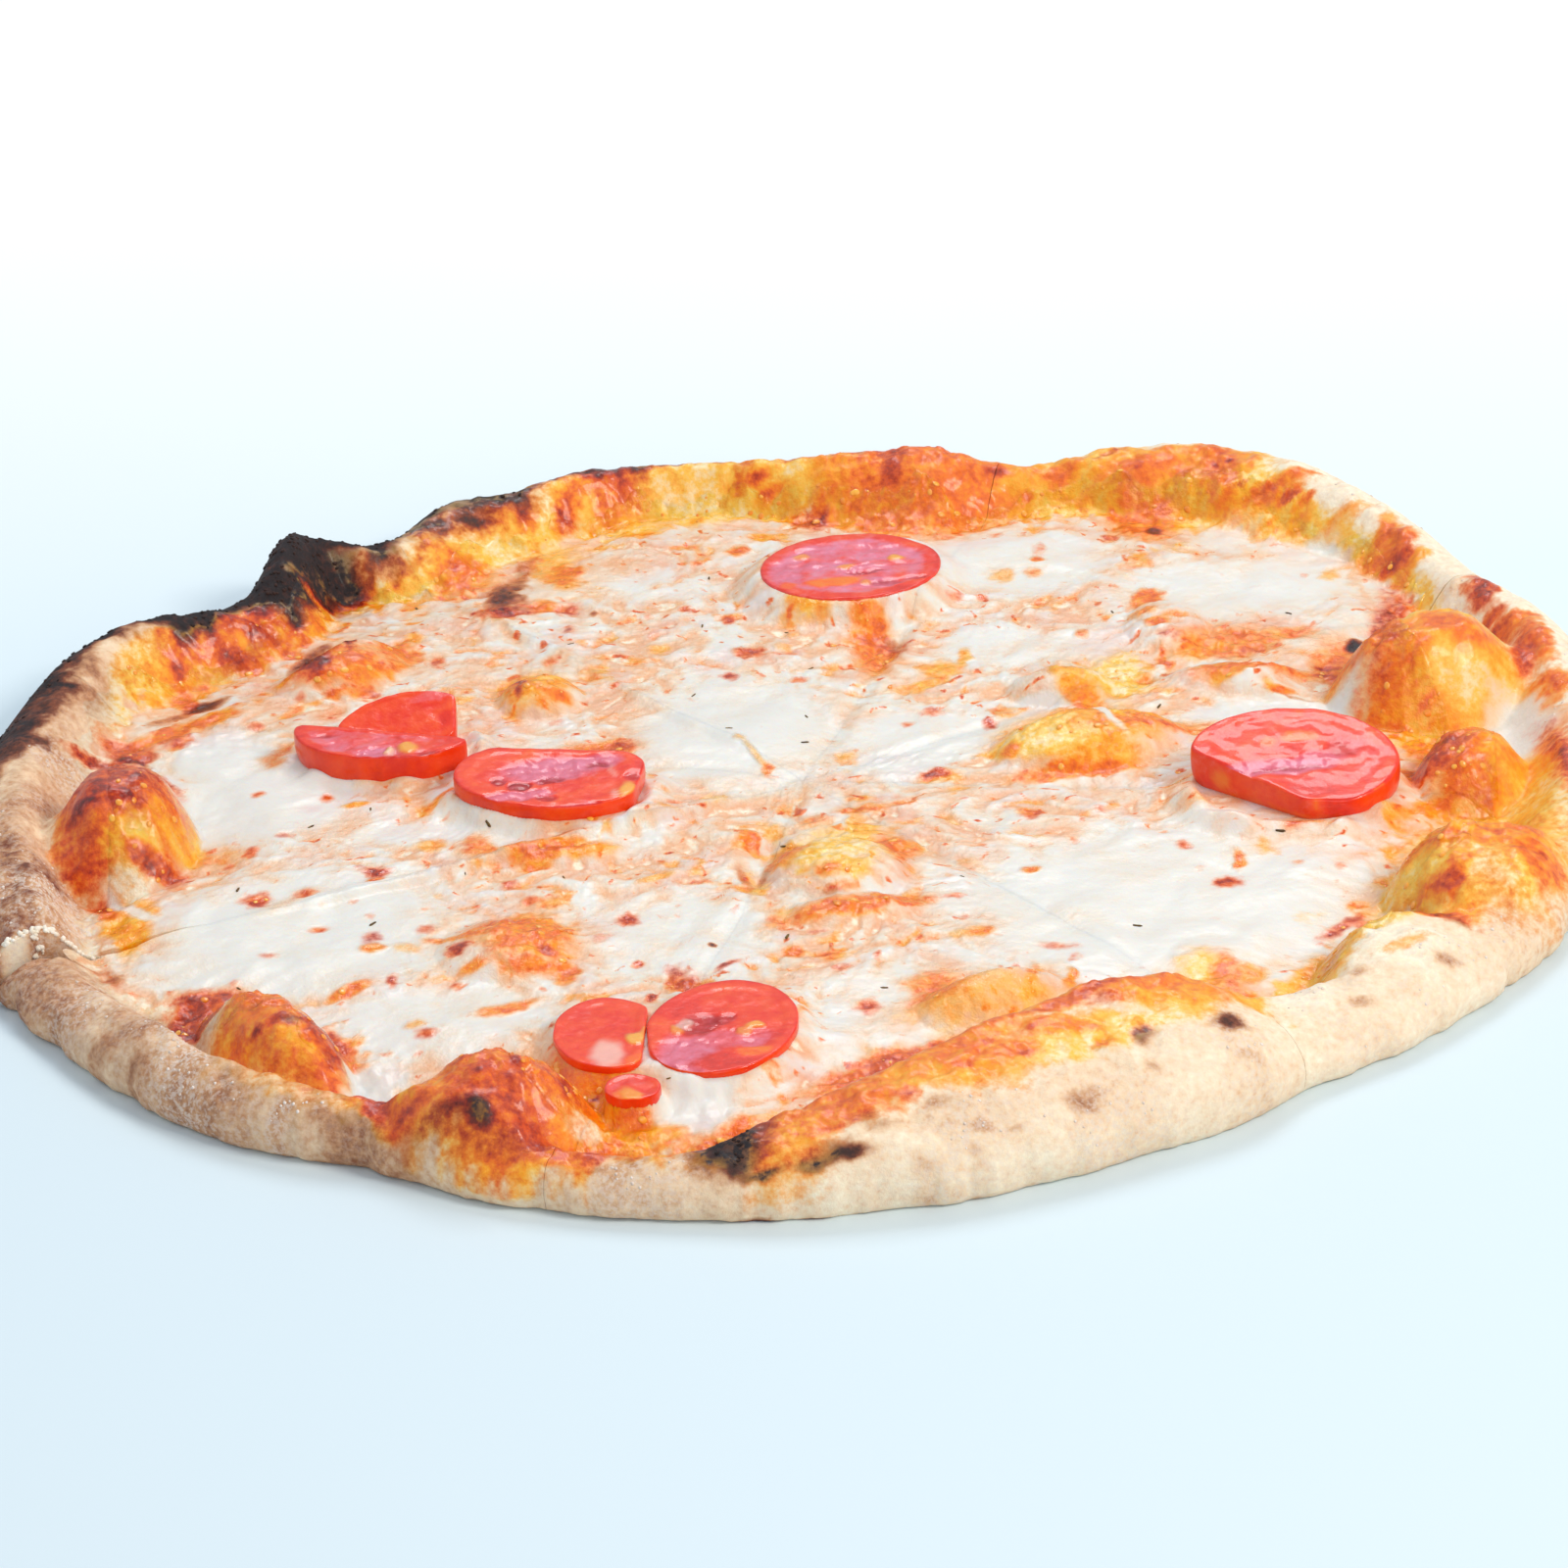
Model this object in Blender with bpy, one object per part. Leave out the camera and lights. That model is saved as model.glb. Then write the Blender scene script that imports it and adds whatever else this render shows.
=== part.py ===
"""Margherita pizza, baked, cut into eight slices and left lying whole.

The crust is eight solids, one for each slice. Each carries its own sheet of melted
cheese, and the cherry tomato pieces lie on the cheese. Sizes below are in millimetres
and degrees. Places are measured from the point where the cuts cross, X to the right and
Y away from the viewer, and angles run anticlockwise from X. Every piece is then moved so
that the origin lies under the middle of the whole pizza, on the table.
"""

import functools
import math

import bmesh
import bpy
from mathutils import Matrix, Vector

MM = 0.001
GAP = 0.3  # left between two pieces that touch

# Where the cuts cross, seen from the middle of the pizza's box.
CROSSING = (2.39, 4.33)

# The outline, hand stretched and uneven: (angle, distance from the crossing).
OUTLINE = (
    (0, 158), (16, 160), (27, 159), (40, 165), (52, 168), (60, 163.5), (69, 150),
    (77, 148), (88, 145), (104, 152), (114, 150.5), (118, 153.5), (125, 146),
    (129, 147), (132, 153.5), (140, 146), (146, 149), (153, 160.5), (166, 163.5),
    (185, 162.5), (202, 162.5), (211, 160.5), (224, 159.5), (233, 157), (238, 154),
    (247, 156), (266, 157), (280, 155.5), (292, 152.5), (300, 152.5), (305, 149.5),
    (315, 152.5), (330, 155.5), (345, 157.5),
)

# Sections of the raised rim: (angle, crest height, crest inset, foot inset). The insets
# run inwards from the outline: to the top of the rim, and to where it meets the base.
RIM = (
    (0, 12, 10, 22), (19, 13, 9, 20), (27, 11, 9, 18), (38, 13, 9, 20), (51, 15, 10, 27),
    (61, 14, 10, 26), (69.5, 11, 7, 18), (76, 15, 9, 29), (84, 15, 8, 22), (94, 13, 7, 14),
    (110, 14, 8, 19), (121, 13, 8, 29), (130, 14, 7, 18), (136, 20, 7, 20), (143, 14, 8, 22),
    (154, 16, 9, 25), (168, 14, 11, 25), (197, 14, 12, 22), (203, 9, 11, 19), (220, 12, 9, 17),
    (240, 11, 8, 15), (260, 10, 8, 16), (270, 15, 18, 32), (281, 18, 27, 43),
    (299, 19, 28, 42), (306, 12, 15, 31), (318, 12, 13, 28), (345, 12, 11, 24),
)
BASE_THICKNESS = 3.5
EDGE_SHARE = 0.35  # height of the widest point of the rim, of the crest's height
EDGE_LIFT = 2.4  # width of the rounded lower edge that stands off the table

# The cuts, each from the crossing to the edge: direction, sideways bow halfway along,
# and how far the two rims stand apart at the edge.
CUTS = (
    (26.2, 2.0, 1.6),
    (71.3, 0.0, 3.0),
    (126.4, 0.0, 0.6),
    (160.7, 0.0, 0.6),
    (200.5, 3.0, 3.4),
    (251.5, 5.0, 0.8),
    (304.6, 2.0, 1.4),
    (348.5, 3.0, 0.8),
)
GAPE_START = 118.0  # distance from the crossing where the cuts begin to stand open
BOW_LENGTH = 153.0

# Blown bubbles of the rim: (x, y, half length, half width, turn, top height).
RIM_BUBBLES = (
    (-131, -8, 20, 15, 84, 21.5),  # the large brown dome on the left
    (-98, -94, 22, 10, -54, 15),  # the red-edged fold at the front left
    (-58, -126, 19, 15, 2, 18.5),  # the large front bubble
    (74, 131, 12, 10, 20, 14),  # the two at the back right
    (92, 124, 14, 10, -25, 13),
    (124, 26, 21, 16, 10, 21.5),  # the yellow dome on the right
    (127, -13, 14, 11, 60, 14),  # the small one in front of it
    (122, -62, 18, 17, 60, 19),  # the clear yellow dome at the front right
    (104, -87, 16, 12, 30, 14),  # the pale one beside it
)

DOME_FLATNESS = 2.6  # power that keeps a dome's top broad
DOME_SOFTNESS = 1.2  # power that eases a dome into what it rises from
BUBBLE_SHOULDER = 9.0  # width in which a bubble rises from the rim's widest line

# The cheese: its thickness, and the swells and creases of its top.
CHEESE_THICKNESS = 3.0
CHEESE_EDGE = 1.4  # thickness at its outer edge
CHEESE_EDGE_WIDTH = 14.0
CHEESE_INSET = 2.0  # from the foot of the rim
CHEESE_SWELLS = (
    (56, 9, 20, 12, 8, 12.5),  # the glossy yellow bubble right of the middle
    (52, 34, 11, 8, 0, 10.5),
    (92, 32, 21, 7, -16, 9.5),
    (75, 60, 9, 13, 0, 9.5),
    (6, -38, 13, 14, 70, 10.5),  # the browned lump beside the front cut
    (8, -55, 14, 7, 5, 9.0),
    (-56, -62, 14, 13, 0, 10.0),
    (-47, -24, 13, 7, -5, 9.2),
    (-51, 43, 9, 8, 0, 11.0),
    (-92, 62, 15, 13, 30, 12.5),  # the blackened bubble at the back left
    (33, -93, 16, 10, 12, 11.5),  # the clear blister behind the front rim
    (-15, 16, 22, 20, 60, 8.2),  # the smooth thick middle
)
CHEESE_CREASES = (
    (-9, -30, 17, 6, 80, 2.0),  # where the front cut is pulled open
    (17, 60, 19, 7, 76, 1.6),  # where the back cut is pulled open
)

# Cherry tomato pieces: place, half length, half width, turn, thickness, slope of the top
# with the direction it rises in, and the straight sides left by the knife, each with the
# direction it faces and its distance out from the place.
TOMATO_SEAT = 7.2  # level of the cheese under them
TOMATO_PIECES = {
    "tomato_back": ((12.5, 88.5), 18.5, 16.0, 0, 3.8, (0, 0), ()),
    "tomato_left_front": ((-80.5, 21.0), 18.5, 13.0, -10, 6.0, (0, 0), ((72, -1.5),)),
    "tomato_left_back": ((-77.5, 23.0), 13.5, 7.0, 6, 6.0, (24, 80), ((252, 3.8), (0, 10.5))),
    "tomato_centre": ((-48.0, -2.0), 19.5, 12.5, -12, 5.4, (4, 90), ((80, 9.0), (-12, 17.0))),
    "tomato_right": ((93.0, -17.5), 20.0, 16.0, -8, 8.0, (3, 90), ((228, 10.0), (266, 14.0))),
    "tomato_front_left": ((-37.5, -101.5), 10.0, 13.0, 10, 2.4, (0, 0), ((-4, 5.7),)),
    "tomato_front_right": ((-17.5, -101.5), 17.0, 13.5, 75, 2.4, (0, 0), ((182, 12.6),)),
    "tomato_front_seed": ((-33.5, -122.0), 5.0, 4.5, -20, 2.4, (0, 0), ()),
}
TOMATO_POINTS = 22
TOMATO_SECTION = ((0.94, 0.0), (1.0, 0.35), (0.98, 0.85), (0.9, 1.0))

# Fineness of the surfaces.
DEGREES_PER_COLUMN = 2.5
FOOT_SEARCH_START = 85.0
FOOT_EVENING = 4  # degrees to each side over which the foot of the rim is evened out
FLAT_RINGS = (4.0, 45.0, 80.0)
SLOPE_STEPS = (0.0, 0.14, 0.3, 0.46, 0.64, 0.82, 1.0)  # shares of the way from foot to crest
OUTER_STEPS = (0.3, 0.55, 0.78, 0.93, 1.0)  # shares of the way from crest to edge
CHEESE_RINGS = 10

COLOURS = {
    "crust": (0.73, 0.46, 0.26, 1.0),
    "cheese": (0.86, 0.80, 0.68, 1.0),
    "tomato": (0.80, 0.08, 0.03, 1.0),
}
ROUGHNESS = {"crust": 0.8, "cheese": 0.35, "tomato": 0.25}


def around(stations, angle, column=1):
    """Value at an angle, read from a smooth closed curve through the stations."""
    angle %= 360
    count = len(stations)
    after = next((i for i in range(count) if stations[i][0] > angle), count)

    def station(index):
        turns, place = divmod(index, count)
        return stations[place][0] + 360 * turns, stations[place][column]

    (a0, v0), (a1, v1), (a2, v2), (a3, v3) = (station(after + k) for k in (-2, -1, 0, 1))
    step = a2 - a1
    slope_1 = (v2 - v0) / (a2 - a0) * step
    slope_2 = (v3 - v1) / (a3 - a1) * step
    t = (angle - a1) / step
    return (
        v1 * (2 * t**3 - 3 * t**2 + 1) + slope_1 * (t**3 - 2 * t**2 + t)
        + v2 * (3 * t**2 - 2 * t**3) + slope_2 * (t**3 - t**2)
    )


def smooth_step(value, low, high):
    """0 below low, 1 above high, and a smooth rise between them."""
    t = min(1.0, max(0.0, (value - low) / (high - low)))
    return t * t * (3 - 2 * t)


def oval(x, y, feature):
    """Share of the way out of an oval feature: 0 at its middle and 1 at its edge."""
    centre_x, centre_y, half_length, half_width, turn = feature[:5]
    c, s = math.cos(math.radians(turn)), math.sin(math.radians(turn))
    along = (x - centre_x) * c + (y - centre_y) * s
    across = (y - centre_y) * c - (x - centre_x) * s
    return math.hypot(along / half_length, across / half_width)


def raised(level, x, y, swells, share=1.0):
    """Height with domes added, each rising to its top out of what is already there."""
    for swell in swells:
        out = oval(x, y, swell)
        if out < 1 and level < swell[5]:
            level += share * (swell[5] - level) * (1 - out**DOME_FLATNESS) ** DOME_SOFTNESS
    return level


def crust_height(angle, radius):
    """Top of the crust: the flat base, the rim and its bubbles."""
    inset = max(0.0, around(OUTLINE, angle) - radius)
    crest, crest_inset, foot_inset = (around(RIM, angle, column) for column in (1, 2, 3))
    if inset < crest_inset:
        share = 1 - inset / crest_inset
        level = crest * (EDGE_SHARE + (1 - EDGE_SHARE) * math.sqrt(1 - share * share))
    else:
        fall = min(1.0, (inset - crest_inset) / (foot_inset - crest_inset))
        level = BASE_THICKNESS + (crest - BASE_THICKNESS) * (0.5 + 0.5 * math.cos(math.pi * fall))
    x = radius * math.cos(math.radians(angle))
    y = radius * math.sin(math.radians(angle))
    from_edge = min(1.0, inset / BUBBLE_SHOULDER)
    return raised(level, x, y, RIM_BUBBLES, math.sqrt(1 - (1 - from_edge) ** 2))


@functools.cache
def foot_radius(angle):
    """Distance from the crossing where the crust first rises from its flat base."""
    radius = FOOT_SEARCH_START
    while crust_height(angle, radius) < BASE_THICKNESS + 0.15:
        radius += 1.0
    return radius - 1.0


def rim_start(angle):
    """The foot of the rim, evened out where a bubble reaches inwards."""
    turns = range(-FOOT_EVENING, FOOT_EVENING + 1, 2)
    nearest = [min(foot_radius(round(angle + turn + aside)) for aside in turns) for turn in turns]
    return sum(nearest) / len(nearest)


def cheese_height(x, y, edge_distance):
    """Top of the cheese, flat under each tomato piece and thin at its outer edge."""
    from_edge = smooth_step(edge_distance, 0, CHEESE_EDGE_WIDTH)
    level = BASE_THICKNESS + GAP + CHEESE_EDGE + (CHEESE_THICKNESS - CHEESE_EDGE) * from_edge
    level = raised(level, x, y, CHEESE_SWELLS, from_edge)
    for crease in CHEESE_CREASES:
        level -= crease[5] * (1 - smooth_step(oval(x, y, crease), 0, 1))
    for place, half_length, half_width, turn, *_ in TOMATO_PIECES.values():
        seat = (*place, half_length + 12, half_width + 12, turn)
        under = 1 - smooth_step(oval(x, y, seat), 0.8, 1.0)
        level += (min(level, TOMATO_SEAT) - level) * under
    return level


def cut_side(number, side, radius):
    """Direction of one side of a cut at a distance from the crossing."""
    direction, bow, gape = CUTS[number % len(CUTS)]
    direction += 360 * (number // len(CUTS))
    half_gap = GAP / 2 + gape / 2 * smooth_step(radius, GAPE_START, BOW_LENGTH)
    aside = bow * math.sin(math.pi * min(1.0, radius / BOW_LENGTH)) + side * half_gap
    return direction + math.degrees(math.atan2(aside, radius))


def slice_direction(number, share, radius):
    """Direction of the line that lies a share of the way across a slice."""
    start = cut_side(number, 1, radius)
    end = cut_side(number + 1, -1, radius)
    return start + (end - start) * share


def slice_columns(number):
    """Shares across a slice of the lines that its surface is built on."""
    width = slice_direction(number, 1, BOW_LENGTH) - slice_direction(number, 0, BOW_LENGTH)
    count = round(width / DEGREES_PER_COLUMN)
    return [i / count for i in range(count + 1)]


def place_at(angle, radius, height):
    """A point from its direction, distance from the crossing and height."""
    turn = math.radians(angle)
    return Vector((radius * math.cos(turn), radius * math.sin(turn), height))


def tip_of(number, height):
    """The slice's point, where its two sides meet."""
    start, end = (slice_direction(number, share, FLAT_RINGS[0]) for share in (0, 1))
    reach = GAP / 2 / math.sin(math.radians((end - start) / 2))
    return place_at((start + end) / 2, reach, height)


def material(kind):
    """The plain finish of one kind of piece."""
    if kind in bpy.data.materials:
        return bpy.data.materials[kind]
    made = bpy.data.materials.new(kind)
    made.use_nodes = True
    shader = made.node_tree.nodes["Principled BSDF"]
    shader.inputs["Base Color"].default_value = COLOURS[kind]
    shader.inputs["Roughness"].default_value = ROUGHNESS[kind]
    return made


def add_object(name, shape, kind):
    """Turn a bmesh in millimetres into a named object with its material."""
    bmesh.ops.translate(shape, verts=shape.verts, vec=Vector((*CROSSING, 0)))
    bmesh.ops.scale(shape, verts=shape.verts, vec=(MM, MM, MM))
    bmesh.ops.triangulate(shape, faces=shape.faces)
    bmesh.ops.recalc_face_normals(shape, faces=shape.faces)
    mesh = bpy.data.meshes.new(name)
    shape.to_mesh(mesh)
    shape.free()
    mesh.shade_smooth()
    mesh.set_sharp_from_angle(angle=math.radians(50))
    mesh.materials.append(material(kind))
    piece = bpy.data.objects.new(name, mesh)
    bpy.context.scene.collection.objects.link(piece)
    return piece


def close_slice(columns, standing, tip_top, tip_bottom):
    """Close a slice from the lines that run from its tip outwards and round its edge.

    The first points of each line, as many as standing says, have flat underside below
    them. The last point of each line lies on the underside.
    """
    shape = bmesh.new()
    lines = [[shape.verts.new(point) for point in column] for column in columns]
    top = shape.verts.new(tip_top)
    bottom = shape.verts.new(tip_bottom)
    level = tip_bottom.z
    for near, far in zip(lines, lines[1:]):
        shape.faces.new((top, near[0], far[0]))
        for k in range(len(near) - 1):
            shape.faces.new((near[k], near[k + 1], far[k + 1], far[k]))
    sides = []
    for line in (lines[0], lines[-1]):
        under = [shape.verts.new((v.co.x, v.co.y, level)) for v in line[:standing]]
        shape.faces.new((top, bottom, under[0], line[0]))
        for k in range(standing - 1):
            shape.faces.new((line[k], under[k], under[k + 1], line[k + 1]))
        shape.faces.new([under[-1]] + line[standing - 1:][::-1])
        sides.append(under)
    outer = [line[-1] for line in lines]
    shape.faces.new([bottom] + sides[0] + outer + sides[1][::-1])
    return shape


def crust_line(number, share):
    """The crust's surface along one line: base, rim, rounded edge and underside."""
    heading = slice_direction(number, share, BOW_LENGTH)
    edge = around(OUTLINE, heading)
    edge_level = around(RIM, heading) * EDGE_SHARE
    crest = edge - around(RIM, heading, 2)
    foot = rim_start(heading)
    radii = list(FLAT_RINGS)
    radii += [foot + (crest - foot) * step for step in SLOPE_STEPS]
    radii += [crest + (edge - crest) * step for step in OUTER_STEPS]
    line = []
    for radius in radii:
        angle = slice_direction(number, share, radius)
        level = crust_height(angle, radius) if radius > foot else BASE_THICKNESS
        line.append(place_at(angle, radius, level))
    angle = slice_direction(number, share, edge)
    line.append(place_at(angle, edge - EDGE_LIFT * 0.3, edge_level * 0.3))
    line.append(place_at(angle, edge - EDGE_LIFT, 0.0))
    return line


def build_crust(number):
    """One slice of crust, from its tip to the rim."""
    columns = [crust_line(number, share) for share in slice_columns(number)]
    standing = len(FLAT_RINGS) + len(SLOPE_STEPS)
    shape = close_slice(columns, standing, tip_of(number, BASE_THICKNESS), tip_of(number, 0.0))
    return add_object(f"crust_{number + 1}", shape, "crust")


def cheese_line(number, share):
    """The cheese's top along one line, then its outer edge down to the crust."""
    heading = slice_direction(number, share, BOW_LENGTH)
    edge = rim_start(heading) - CHEESE_INSET
    line = []
    for ring in range(CHEESE_RINGS + 1):
        radius = FLAT_RINGS[0] + (edge - FLAT_RINGS[0]) * ring / CHEESE_RINGS
        point = place_at(slice_direction(number, share, radius), radius, 0.0)
        point.z = cheese_height(point.x, point.y, edge - radius)
        line.append(point)
    line.append(Vector((point.x, point.y, BASE_THICKNESS + GAP)))
    return line


def build_cheese(number):
    """The melted cheese of one slice."""
    columns = [cheese_line(number, share) for share in slice_columns(number)]
    middle = cheese_height(0.0, 0.0, CHEESE_EDGE_WIDTH)
    under = tip_of(number, BASE_THICKNESS + GAP)
    shape = close_slice(columns, CHEESE_RINGS, tip_of(number, middle), under)
    return add_object(f"cheese_{number + 1}", shape, "cheese")


def cut_away(outline, direction, distance):
    """The outline less what lies beyond a straight cut."""
    facing = Vector((math.cos(math.radians(direction)), math.sin(math.radians(direction))))
    kept = []
    for here, ahead in zip(outline, outline[1:] + outline[:1]):
        over_here, over_ahead = here.dot(facing) - distance, ahead.dot(facing) - distance
        if over_here <= 0:
            kept.append(here)
        if over_here * over_ahead < 0:
            kept.append(here.lerp(ahead, over_here / (over_here - over_ahead)))
    return kept


def build_tomato(name):
    """A slab of tomato: an oval slice with the sides that the knife left straight."""
    place, half_length, half_width, turn, thickness, slope, sides = TOMATO_PIECES[name]
    rise, rise_direction = slope
    turned = Matrix.Rotation(math.radians(turn), 2)
    outline = []
    for k in range(TOMATO_POINTS):
        step = 2 * math.pi * k / TOMATO_POINTS
        outline.append(turned @ Vector((half_length * math.cos(step), half_width * math.sin(step))))
    for direction, distance in sides:
        outline = cut_away(outline, direction, distance)
    middle = sum(outline, Vector((0, 0))) / len(outline)
    uphill = place_at(rise_direction, math.tan(math.radians(rise)), 0).to_2d()
    shape = bmesh.new()
    rings = []
    for share, level in TOMATO_SECTION:
        ring = []
        for point in outline:
            spot = middle + (point - middle) * share
            top = thickness + spot.dot(uphill)
            height = TOMATO_SEAT + GAP + top * level
            ring.append(shape.verts.new((place[0] + spot.x, place[1] + spot.y, height)))
        rings.append(ring)
    for lower, upper in zip(rings, rings[1:]):
        for k in range(len(lower)):
            after = (k + 1) % len(lower)
            shape.faces.new((lower[k], lower[after], upper[after], upper[k]))
    shape.faces.new(rings[0][::-1])
    shape.faces.new(rings[-1])
    return add_object(name, shape, "tomato")


def main():
    for old in list(bpy.data.objects):
        bpy.data.objects.remove(old)
    for number in range(len(CUTS)):
        build_crust(number)
        build_cheese(number)
    for name in TOMATO_PIECES:
        build_tomato(name)


main()
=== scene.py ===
# %% [markdown]
# # A margherita pizza, baked and cut into eight
# A soft wheat dough is stretched by hand, spread with crushed tomato, covered with
# mozzarella and a few cut cherry tomatoes, and baked for two minutes in a very hot oven.
# The rim blows up into bubbles that brown and char, the cheese melts into one white sheet,
# and fat stained by the tomato gathers in yellow and orange pools.
#
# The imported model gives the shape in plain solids. This script lays a finer skin over each
# of them, from the same named sizes, so that both stay the same pizza.

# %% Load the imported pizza
import math

import bpy
import numpy as np
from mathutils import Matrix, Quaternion, Vector


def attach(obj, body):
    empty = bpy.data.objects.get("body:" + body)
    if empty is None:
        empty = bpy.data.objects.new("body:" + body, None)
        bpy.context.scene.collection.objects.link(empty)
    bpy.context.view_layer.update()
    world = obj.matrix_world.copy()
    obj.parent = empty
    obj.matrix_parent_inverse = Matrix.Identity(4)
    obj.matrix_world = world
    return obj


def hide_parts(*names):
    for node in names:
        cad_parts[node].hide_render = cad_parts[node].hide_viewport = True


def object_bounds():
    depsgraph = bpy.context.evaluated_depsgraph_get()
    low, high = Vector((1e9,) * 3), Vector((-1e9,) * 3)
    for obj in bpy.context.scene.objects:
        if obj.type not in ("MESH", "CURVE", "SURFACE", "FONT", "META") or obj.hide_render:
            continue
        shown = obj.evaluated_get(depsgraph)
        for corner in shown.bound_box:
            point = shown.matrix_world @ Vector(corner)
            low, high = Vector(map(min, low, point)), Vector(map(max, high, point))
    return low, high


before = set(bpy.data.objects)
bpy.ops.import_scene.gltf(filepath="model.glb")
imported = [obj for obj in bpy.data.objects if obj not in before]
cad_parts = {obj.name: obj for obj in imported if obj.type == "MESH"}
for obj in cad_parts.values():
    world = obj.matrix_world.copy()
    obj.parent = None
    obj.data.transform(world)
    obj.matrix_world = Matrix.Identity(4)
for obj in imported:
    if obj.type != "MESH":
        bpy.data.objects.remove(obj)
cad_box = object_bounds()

MM = 0.001
CROSSING = (2.39, 4.33)  # where the cuts cross, from the middle of the pizza

# %% [markdown]
# ## Sizes of the pizza
# Everything is measured in millimetres from the point where the cuts cross: X to the
# right, Y away from the viewer, angles anticlockwise from X. The outline and the rim are
# given as stations round the pizza, because a hand-stretched dough is nowhere round.

# %% The stations and the bubbles
OUTLINE = (  # (angle, distance from the crossing)
    (0, 158), (16, 160), (27, 159), (40, 165), (52, 168), (60, 163.5), (69, 150),
    (77, 148), (88, 145), (104, 152), (114, 150.5), (118, 153.5), (125, 146),
    (129, 147), (132, 153.5), (140, 146), (146, 149), (153, 160.5), (166, 163.5),
    (185, 162.5), (202, 162.5), (211, 160.5), (224, 159.5), (233, 157), (238, 154),
    (247, 156), (266, 157), (280, 155.5), (292, 152.5), (300, 152.5), (305, 149.5),
    (315, 152.5), (330, 155.5), (345, 157.5),
)
RIM = (  # (angle, crest height, crest inset, foot inset)
    (0, 12, 10, 22), (19, 13, 9, 20), (27, 11, 9, 18), (38, 13, 9, 20), (51, 15, 10, 27),
    (61, 14, 10, 26), (69.5, 11, 7, 18), (76, 15, 9, 29), (84, 15, 8, 22), (94, 13, 7, 14),
    (110, 14, 8, 19), (121, 13, 8, 29), (130, 14, 7, 18), (136, 20, 7, 20), (143, 14, 8, 22),
    (154, 16, 9, 25), (168, 14, 11, 25), (197, 14, 12, 22), (203, 9, 11, 19), (220, 12, 9, 17),
    (240, 11, 8, 15), (260, 10, 8, 16), (270, 15, 18, 32), (281, 18, 27, 43),
    (299, 19, 28, 42), (306, 12, 15, 31), (318, 12, 13, 28), (345, 12, 11, 24),
)
CUTS = (  # (direction, sideways bow, how far the rims stand apart)
    (26.2, 2.0, 0.5), (71.3, 0.0, 0.3), (126.4, 0.0, 0.1), (160.7, 0.0, 0.1),
    (200.5, 3.0, 3.0), (251.5, 5.0, 0.1), (304.6, 2.0, 0.1), (348.5, 3.0, 0.2),
)
RIM_BUBBLES = (  # (x, y, half length, half width, turn, top height)
    (-131, -8, 20, 15, 84, 21.5), (-98, -94, 22, 10, -54, 15), (-58, -126, 19, 15, 2, 18.5),
    (74, 131, 12, 10, 20, 14), (92, 124, 14, 10, -25, 13), (124, 26, 21, 16, 10, 21.5),
    (127, -13, 14, 11, 60, 14), (122, -62, 18, 17, 60, 19), (104, -87, 16, 12, 30, 14),
)
CHEESE_SWELLS = (
    (56, 9, 20, 12, 8, 12.5), (52, 34, 11, 8, 0, 10.5), (92, 32, 21, 7, -16, 9.5),
    (75, 60, 9, 13, 0, 9.5), (6, -38, 13, 14, 70, 10.5), (8, -55, 14, 7, 5, 9.0),
    (-56, -62, 14, 13, 0, 10.0), (-47, -24, 13, 7, -5, 9.2), (-51, 43, 9, 8, 0, 11.0),
    (-92, 62, 15, 13, 30, 12.5), (33, -93, 16, 10, 12, 11.5), (-15, 16, 22, 20, 60, 8.2),
)
CHEESE_CREASES = ((-9, -30, 17, 6, 80, 2.0), (17, 60, 19, 7, 76, 1.6))
TOMATO_BEDS = (  # (x, y, half length, half width, turn)
    (12.5, 88.5, 18.5, 16, 0), (-80.5, 21, 18.5, 13, -10), (-77.5, 23, 13.5, 7, 6),
    (-48, -2, 19.5, 12.5, -12), (93, -17.5, 20, 16, -8), (-37.5, -101.5, 10, 13, 10),
    (-17.5, -101.5, 17, 13.5, 75), (-33.5, -122, 5, 4.5, -20),
)
BASE = 3.5  # thickness of the flat base
EDGE_SHARE, EDGE_LIFT, BUBBLE_SHOULDER = 0.35, 2.4, 9.0
GAPE_START, BOW_LENGTH = 118.0, 153.0
DOME_FLATNESS, DOME_SOFTNESS = 2.6, 1.2
TOMATO_SEAT = 7.2
print(len(OUTLINE), "outline stations,", len(RIM_BUBBLES), "rim bubbles,", len(CUTS), "cuts")

# %% [markdown]
# ## Heights as functions
# A dough surface could be sculpted by hand, but a function of the place on the table gives
# the same height to the crust, to the cheese that lies on it and to whatever is sprinkled
# on top. NumPy works out a whole sheet of points at once.

# %% Curves, ovals and domes


def around(stations, angle, column=1):
    """Value at each angle, read from a smooth closed curve through the stations."""
    table = np.array(stations, float)
    count = len(table)
    angle = np.mod(angle, 360.0)
    after = np.searchsorted(table[:, 0], angle, side="right")

    def station(step):
        turns, place = np.divmod(after + step, count)
        return table[place, 0] + 360 * turns, table[place, column]

    (a0, v0), (a1, v1), (a2, v2), (a3, v3) = (station(k) for k in (-2, -1, 0, 1))
    step = a2 - a1
    rise_1, rise_2 = (v2 - v0) / (a2 - a0) * step, (v3 - v1) / (a3 - a1) * step
    t = (angle - a1) / step
    return (
        v1 * (2 * t**3 - 3 * t**2 + 1) + rise_1 * (t**3 - 2 * t**2 + t)
        + v2 * (3 * t**2 - 2 * t**3) + rise_2 * (t**3 - t**2)
    )


def ease(value, low, high):
    """0 below low, 1 above high, and a smooth rise between them."""
    t = np.clip((value - low) / (high - low), 0, 1)
    return t * t * (3 - 2 * t)


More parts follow.
